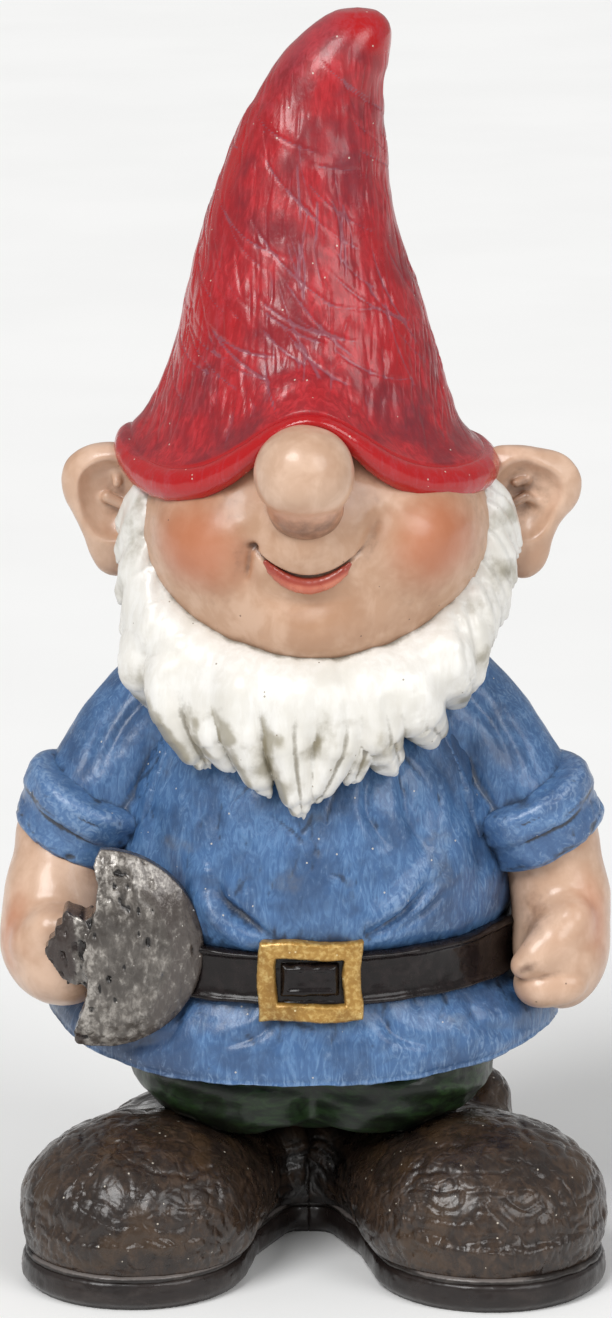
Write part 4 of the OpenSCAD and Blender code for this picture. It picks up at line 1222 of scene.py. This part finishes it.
class Paint:
    """Builds one material's nodes."""

    def __init__(self, name):
        self.material = bpy.data.materials.new(name)
        self.material.use_nodes = True
        self.tree = self.material.node_tree
        self.shader = self.tree.nodes["Principled BSDF"]
        self.place = self.add("ShaderNodeTexCoord").outputs["Object"]

    def add(self, kind, inputs=None, **settings):
        node = self.tree.nodes.new(kind)
        for key, value in settings.items():
            setattr(node, key, value)
        for key, value in (inputs or {}).items():
            self.feed(node.inputs[key], value)
        return node

    def feed(self, socket, value):
        if isinstance(value, bpy.types.NodeSocket):
            self.tree.links.new(value, socket)
        else:
            socket.default_value = value

    def mask(self, name):
        return self.add("ShaderNodeAttribute", attribute_name=name).outputs["Fac"]

    def noise(self, size_mm, stretch=(1, 1, 1), detail=3.0, roughness=0.55, distortion=0.0):
        """Noise from 0 to 1 with features of about the given size."""
        place = self.add("ShaderNodeMapping", {"Vector": self.place, "Scale": stretch}).outputs["Vector"]
        return self.add("ShaderNodeTexNoise", {"Vector": place, "Scale": 1 / (size_mm * MM), "Detail": detail,
                                               "Roughness": roughness, "Distortion": distortion}).outputs["Fac"]

    def math(self, operation, a, b=0.0, c=0.0):
        return self.add("ShaderNodeMath", {0: a, 1: b, 2: c}, operation=operation).outputs[0]

    def times(self, a, b):
        return self.math("MULTIPLY", a, b)

    def centred(self, value, amount):
        """A value from 0 to 1 as one from -amount / 2 to amount / 2."""
        return self.times(self.math("SUBTRACT", value, 0.5), amount)

    def total(self, first, *others):
        for other in others:
            first = self.math("ADD", first, other)
        return first

    def span(self, value, low, high, to_low=0.0, to_high=1.0):
        return self.add("ShaderNodeMapRange", {"Value": value, "From Min": low, "From Max": high, "To Min": to_low,
                                               "To Max": to_high}, interpolation_type="SMOOTHSTEP").outputs["Result"]

    def mix(self, factor, a, b):
        return self.add("ShaderNodeMix", {"Factor": factor, 6: a, 7: b}, data_type="RGBA").outputs[2]

    def wrinkles(self, size_mm):
        """Puffs of leather from 0 at their edges to 1."""
        bend = self.add("ShaderNodeTexNoise", {"Vector": self.place, "Scale": 1 / (size_mm * 2 * MM), "Detail": 3.0})
        bent = self.add("ShaderNodeVectorMath", {0: bend.outputs["Color"], 1: (size_mm * 1.6 * MM,) * 3},
                        operation="MULTIPLY").outputs[0]
        place = self.add("ShaderNodeVectorMath", {0: self.place, 1: bent}, operation="ADD").outputs[0]
        cells = self.add("ShaderNodeTexVoronoi", {"Vector": place, "Scale": 1 / (size_mm * MM)},
                         feature="DISTANCE_TO_EDGE")
        return self.span(cells.outputs["Distance"], 0.0, 0.16)

    def specks(self, size_mm, share):
        """Sparse dots, 1 on a dot."""
        cells = self.add("ShaderNodeTexVoronoi", {"Vector": self.place, "Scale": 1 / (size_mm * MM)})
        pick = self.add("ShaderNodeSeparateColor", {"Color": cells.outputs["Color"]}).outputs[0]
        return self.times(self.math("LESS_THAN", cells.outputs["Distance"], 0.17), self.math("LESS_THAN", pick, share))

    def finish(self, colour, roughness, height, bump_mm, coat=0.0, metallic=0.0, specular=0.5, coat_roughness=0.12):
        for key, value in {"Base Color": colour, "Roughness": roughness, "Coat Weight": coat,
                           "Coat Roughness": coat_roughness, "Metallic": metallic,
                           "Specular IOR Level": specular}.items():
            self.feed(self.shader.inputs[key], value)
        bump_node = self.add("ShaderNodeBump", {"Height": height, "Strength": 1.0, "Distance": bump_mm * MM})
        self.feed(self.shader.inputs["Normal"], bump_node.outputs["Normal"])
        return self.material


def rgb(r, g, b):
    """A colour given as it looks, from 0 to 255, as the linear one that shaders use."""
    return (*[(v / 255 / 12.92 if v <= 10 else ((v / 255 + 0.055) / 1.055) ** 2.4) for v in (r, g, b)], 1.0)


DUST, DARK_SPECK = (214, 205, 190), (90, 66, 52)


def painted(name, base, light, dark, wash, streak=(1, 1, 0.12), streak_mm=1.3, swirl=0.4, wash_power=1.0, dry=None,
            dry_power=0.5, gloss=(0.32, 0.5), tint=None, tint_power=0.8, tint_gloss=None, grime_and_shade=None, grime_power=0.8,
            speck=None, speck_share=0.03, tone_mm=16, bump_mm=0.12, wrinkle_mm=0.0, coat=0.25, **shine):
    """Brushed paint over a cast surface: streaks of a lighter and a darker tone, a tint and grime where masks ask
    for them, both also painted shade on some pieces, a dark wash that lies in the grooves, dry brushing on what
    stands out, and specks of dust, which on the blade are painted glints."""
    m = Paint(name)
    colour, roughness = rgb(*base), m.span(m.noise(4.5), 0.3, 0.7, *gloss)

    def over(factor, power, tone):
        return m.mix(m.times(factor, power), colour, rgb(*tone))

    relief, crevice = m.mask("relief"), m.mask("crevice")
    brushed = m.noise(streak_mm, streak, 4, 0.6, swirl)
    patches = m.noise(tone_mm, (1, 1, 1), 3, 0.6)
    flecks = m.noise(0.7, (1, 1, 1), 2, 0.6)
    colour = m.mix(m.span(brushed, 0.38, 0.66), colour, rgb(*light))
    colour = over(m.span(patches, 0.42, 0.68), 0.75, dark)
    if tint:
        colour = over(m.span(m.total(m.mask("tint"), m.centred(patches, 0.35)), 0.08, 0.95), tint_power, tint)
    if tint_gloss:
        roughness = m.add("ShaderNodeMix", {"Factor": m.mask("tint"), 2: roughness, 3: tint_gloss}).outputs[0]
    groove = m.total(m.math("MULTIPLY_ADD", relief, -2.4, m.times(crevice, 1.15)), m.centred(m.noise(3.0), 0.9),
                     m.centred(flecks, 0.35))
    colour = over(m.span(groove, 0.28, 1.05), wash_power, wash)
    if dry:
        proud = m.total(m.math("MULTIPLY_ADD", crevice, -0.9, m.centred(brushed, 2.2)), m.centred(flecks, 0.8))
        colour = over(m.span(proud, 0.25, 0.95), dry_power, dry)
    if grime_and_shade:
        stain = m.total(m.mask("stain"), m.centred(m.noise(2.2, detail=5), 0.7))
        colour = over(m.span(stain, 0.22, 0.95), grime_power, grime_and_shade)
    if speck:
        colour = over(m.specks(1.4, speck_share), 0.7, speck)
    height = m.total(m.times(brushed, 0.6), m.times(m.noise(0.55, (1, 1, 0.6), 3), 0.5))
    if wrinkle_mm:
        height = m.total(height, m.times(m.wrinkles(wrinkle_mm), 0.8))
    return m.finish(colour, roughness, height, bump_mm, coat, **shine)


def materials():
    face = dict(streak=(1, 1, 0.8), streak_mm=7, bump_mm=0.05, speck=DARK_SPECK, speck_share=0.012, tone_mm=12)
    cloth = dict(streak_mm=2.2, dry_power=0.45, gloss=(0.32, 0.48), coat=0.22, bump_mm=0.2, tone_mm=12, speck=DUST)
    return {
        "hat": painted("hat red", (156, 19, 29), (186, 35, 43), (114, 22, 34), (138, 80, 94), streak_mm=1.7,
                       swirl=1.0, wash_power=0.65, dry=(176, 70, 82), dry_power=0.35, gloss=(0.3, 0.46),
                       tint=(178, 8, 14), tint_power=0.95, tint_gloss=0.2, grime_and_shade=(100, 38, 52), grime_power=0.65,
                       speck=DUST, tone_mm=13),
        # On the nose this grime colour is painted shade under the ball; elsewhere it darkens the ears' hollows and
        # smudges the hands.
        "skin": painted("skin", (203, 167, 141), (216, 182, 157), (186, 146, 118), (112, 84, 66), wash_power=0.6,
                        gloss=(0.3, 0.42), coat=0.3, tint=(196, 116, 78), tint_power=0.85, grime_and_shade=(100, 66, 46),
                        grime_power=0.85, **face),
        # The face's grime colour is mostly painted shade: in the smile folds, beside and under the nose and in the
        # mouth.
        "face": painted("face skin", (192, 152, 123), (206, 170, 144), (174, 132, 102), (148, 110, 88),
                        wash_power=0.5, gloss=(0.3, 0.44), coat=0.24, tint=(188, 110, 72), grime_and_shade=(84, 52, 36),
                        grime_power=0.9, **face),
        "lip": painted("lip", (196, 104, 78), (208, 122, 94), (176, 84, 62), (104, 38, 30), streak_mm=2.0,
                       wash_power=0.5, gloss=(0.22, 0.34), coat=0.4, bump_mm=0.05, tint=(150, 54, 42),
                       tint_power=0.85),
        # The hair's grime colour is painted shade between the locks and towards the beard's bottom, with blotches of
        # dirt.
        "hair": painted("hair white", (229, 226, 219), (238, 236, 231), (219, 215, 205), (104, 94, 70),
                        streak_mm=2.4, streak=(1, 1, 0.3), wash_power=0.72, gloss=(0.3, 0.44), bump_mm=0.06,
                        grime_and_shade=(132, 122, 94), grime_power=0.7, speck=(110, 92, 60)),
        # The shirt's tint colour is painted shade on the lower skirt at the gnome's right, under the beard, down the
        # sides and in the creases, with some tone that varies at random.
        "shirt": painted("shirt blue", (62, 99, 145), (88, 126, 170), (42, 70, 108), (32, 48, 72),
                         streak=(1, 1, 0.3), swirl=2.2, wash_power=0.75, dry=(138, 160, 190),
                         grime_and_shade=(118, 118, 116), grime_power=0.5, tint=(36, 54, 84), tint_power=0.7, **cloth),
        "cuff": painted("cuff blue", (76, 112, 158), (102, 138, 180), (54, 84, 126), (34, 48, 70),
                        streak=(1, 1, 1), swirl=1.6, wash_power=0.8, dry=(146, 166, 194), grime_and_shade=(58, 60, 64),
                        grime_power=0.7, **cloth),
        "belt": painted("belt black", (22, 17, 17), (32, 25, 25), (16, 12, 12), (9, 7, 7), streak_mm=2.2,
                        streak=(1, 1, 1), dry=(70, 62, 60), dry_power=0.12, gloss=(0.18, 0.3), bump_mm=0.1,
                        specular=0.2),
        "gold": painted("buckle gold", (168, 126, 58), (196, 156, 84), (124, 88, 36), (48, 34, 20), streak_mm=1.2,
                        streak=(1, 1, 1), wash_power=0.9, dry=(220, 196, 132), gloss=(0.3, 0.45), coat=0.2,
                        speck=(240, 226, 180), speck_share=0.15, metallic=0.4),
        "green": painted("trouser green", (16, 27, 15), (34, 58, 28), (11, 15, 11), (12, 16, 13), streak_mm=3.0,
                         streak=(0.4, 0.4, 1), swirl=1.2, wash_power=0.8, dry=(64, 88, 50), dry_power=0.25,
                         gloss=(0.34, 0.5), coat=0.2, grime_and_shade=(124, 122, 112), grime_power=0.75, specular=0.35),
        "boot": painted("boot brown", (44, 34, 28), (66, 50, 38), (32, 25, 22), (17, 13, 12), streak_mm=2.6,
                        streak=(1, 1, 0.6), swirl=1.0, wash_power=0.9, dry=(96, 82, 72), dry_power=0.25,
                        gloss=(0.24, 0.4), coat=0.3, bump_mm=0.13, grime_and_shade=(76, 56, 36), grime_power=0.4,
                        wrinkle_mm=4.4, speck=DUST, specular=0.4),
        "welt": painted("welt", (36, 31, 29), (52, 46, 42), (26, 22, 20), (16, 13, 12), streak_mm=3,
                        streak=(1, 1, 1), dry=(96, 90, 86), dry_power=0.4, gloss=(0.3, 0.45), wash_power=0.7,
                        grime_and_shade=(140, 132, 128), grime_power=0.5, specular=0.35),
        "sole": painted("sole", (34, 27, 25), (44, 36, 33), (24, 19, 18), (14, 11, 10), streak_mm=3,
                        streak=(0.3, 0.3, 1), dry=(84, 76, 72), dry_power=0.2, gloss=(0.26, 0.42), specular=0.35),
        # The tool's grime colour is brown paint at the neck and painted shade on faces turned from the front and near
        # the arc; its pale specks are painted glints.
        "steel": painted("tool grey", (92, 86, 80), (140, 134, 127), (58, 52, 48), (26, 22, 20), streak_mm=1.6,
                         streak=(1, 1, 0.6), dry=(190, 184, 176), dry_power=0.7, gloss=(0.22, 0.36), coat=0.45,
                         tint=(78, 70, 66), tint_gloss=0.2, tint_power=0.75, grime_and_shade=(52, 40, 36), grime_power=0.9,
                         speck=(225, 220, 212), speck_share=0.08, metallic=0.3, bump_mm=0.22),
        "wood": painted("handle brown", (66, 42, 32), (84, 56, 42), (46, 30, 24), (24, 16, 14),
                        streak=(1, 0.15, 1), gloss=(0.34, 0.5), wash_power=0.9),
    }


# -------- putting it together

def pair(piece, make, nodes, slot, paint):
    """The rows of a piece that both sides of the gnome have."""
    return [(f"{word}_{piece}", lambda side=side: make(side), [f"{word}_{node}" for node in nodes], slot, paint)
            for word, side in (("right", -1), ("left", 1))]


PIECES = [              # piece, how it is made, the CAD nodes it stands for, the record's slot, and its paint
    ("hat_cast", hat, ["hat"], "hat_paint", "hat"),
    ("face_and_head", head, ["head"], "skin_paint", "face"),
    ("nose_ball", nose, ["nose"], "skin_paint", "skin"),
    ("lower_lip_bow", lower_lip, ["lower_lip"], "lip_paint", "lip"),
    *pair("ear_shell", ear, ["ear"], "skin_paint", "skin"),
    ("beard_locks", beard, ["beard"], "hair_paint", "hair"),
    ("back_hair_locks", back_hair, ["back_hair"], "hair_paint", "hair"),
    ("shirt_body", shirt, ["shirt", "shirt_skirt"], "shirt_paint", "shirt"),
    *pair("sleeve_folds", sleeve, ["sleeve"], "shirt_paint", "shirt"),
    *pair("cuff_roll", cuff, ["cuff"], "shirt_paint", "cuff"),
    *pair("arm_and_fist", arm_and_fist, ["forearm", "hand"], "skin_paint", "skin"),
    ("belt_band", belt, ["belt"], "belt_paint", "belt"),
    ("buckle_bars", buckle_frame, ["buckle_frame"], "buckle_gold", "gold"),
    ("buckle_leather", buckle_strap, ["buckle_strap"], "belt_paint", "belt"),
    ("trouser_legs", trousers, ["trousers"], "trouser_paint", "green"),
    *pair("boot_upper", boot, ["boot"], "boot_paint", "boot"),
    *pair("boot_welt", welt, ["welt"], "welt_paint", "welt"),
    *pair("boot_sole", sole, ["sole"], "sole_paint", "sole"),
    ("blade_and_neck", tool_blade, ["tool_blade", "tool_socket"], "tool_grey", "steel"),
    ("wooden_handle", tool_handle, ["tool_handle"], "handle_brown", "wood"),
]


def placed(name, data):
    thing = bpy.data.objects.new(name, data)
    bpy.context.scene.collection.objects.link(thing)
    return thing


def to_blender(name, mesh, material):
    data = bpy.data.meshes.new(name)
    sizes = np.concatenate([np.full(len(mesh.quads), 4), [len(c) for c in mesh.caps]]).astype(np.int32)
    loops = np.concatenate([mesh.quads.ravel(), *mesh.caps]).astype(np.int32)
    data.vertices.add(len(mesh.points))
    data.vertices.foreach_set("co", ((mesh.points + AXIS) * MM).astype(np.float32).ravel())
    data.loops.add(len(loops))
    data.loops.foreach_set("vertex_index", loops)
    data.polygons.add(len(sizes))
    data.polygons.foreach_set("loop_start", np.concatenate([[0], np.cumsum(sizes)[:-1]]).astype(np.int32))
    data.polygons.foreach_set("loop_total", sizes)
    data.polygons.foreach_set("use_smooth", np.ones(len(sizes), bool))
    for key in ("relief", "crevice", "tint", "stain"):
        values = mesh.masks.get(key, np.zeros(len(mesh.points)))
        data.attributes.new(key, "FLOAT", "POINT").data.foreach_set("value", values.astype(np.float32))
    data.update(calc_edges=True)
    data.validate()
    data.materials.append(material)
    return placed(name, data)


def build():
    paints = materials()
    meshes = [make() for _, make, *_ in PIECES]
    add_crevices(meshes)
    for (name, _, nodes, slot, paint), mesh in zip(PIECES, meshes):
        piece = to_blender(name, mesh, paints[paint])
        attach(piece, "root")
        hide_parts(*nodes)


# -------- stage, light and camera

FLOOR_HALF = 8.0
DISTANCE, ELEVATION, LENS = 1.30, math.radians(13.0), 147.6
AIM_OFF = (-0.0007, 0, -0.0069)           # centres the figure in the frame as in the photo


def stage():
    data = bpy.data.meshes.new("floor")
    data.from_pydata([(FLOOR_HALF * x, FLOOR_HALF * y, 0) for x, y in ((-1, -1), (1, -1), (1, 1), (-1, 1))], [],
                     [(0, 1, 2, 3)])
    floor = placed("floor", data)
    m = Paint("pale floor")
    tone = m.mix(m.span(m.noise(180), 0.3, 0.7), rgb(250, 250, 249), rgb(253, 253, 252))
    data.materials.append(m.finish(tone, 0.75, m.noise(30), 0.02, coat_roughness=0.1))


def aim(thing, target):
    thing.rotation_euler = Vector(np.array(target) - np.array(thing.location)).to_track_quat("-Z", "Y").to_euler()


def sun(name, azimuth, elevation, spread, strength):
    """A large soft light far away. azimuth is from the camera's side towards the gnome's left, in degrees."""
    data = bpy.data.lights.new(name, "SUN")
    data.energy = strength
    data.angle = math.radians(spread)
    lamp = placed(name, data)
    a, e = math.radians(azimuth), math.radians(elevation)
    lamp.location = (math.sin(a) * math.cos(e), -math.cos(a) * math.cos(e), math.sin(e))
    aim(lamp, (0, 0, 0))


def lights():
    sun("key", -34, 46, 30, 1.95)
    sun("fill", 44, 34, 34, 1.0)
    world = bpy.data.worlds.new("studio")
    world.use_nodes = True
    world.node_tree.nodes["Background"].inputs["Color"].default_value = (1, 1, 1, 1)
    world.node_tree.nodes["Background"].inputs["Strength"].default_value = 0.36
    bpy.context.scene.world = world


def camera():
    middle = AXIS * MM + [0, 0, 0.5 * CAD_BOX[1][2]]
    data = bpy.data.cameras.new("camera")
    data.lens = LENS
    data.clip_start, data.clip_end = 0.05, 50
    eye = placed("camera", data)
    eye.location = middle + [0, -DISTANCE * math.cos(ELEVATION), DISTANCE * math.sin(ELEVATION)]
    aim(eye, middle + AIM_OFF)
    bpy.context.scene.camera = eye


camera()
stage()
lights()
build()
bpy.context.scene.view_settings.view_transform = "Standard"
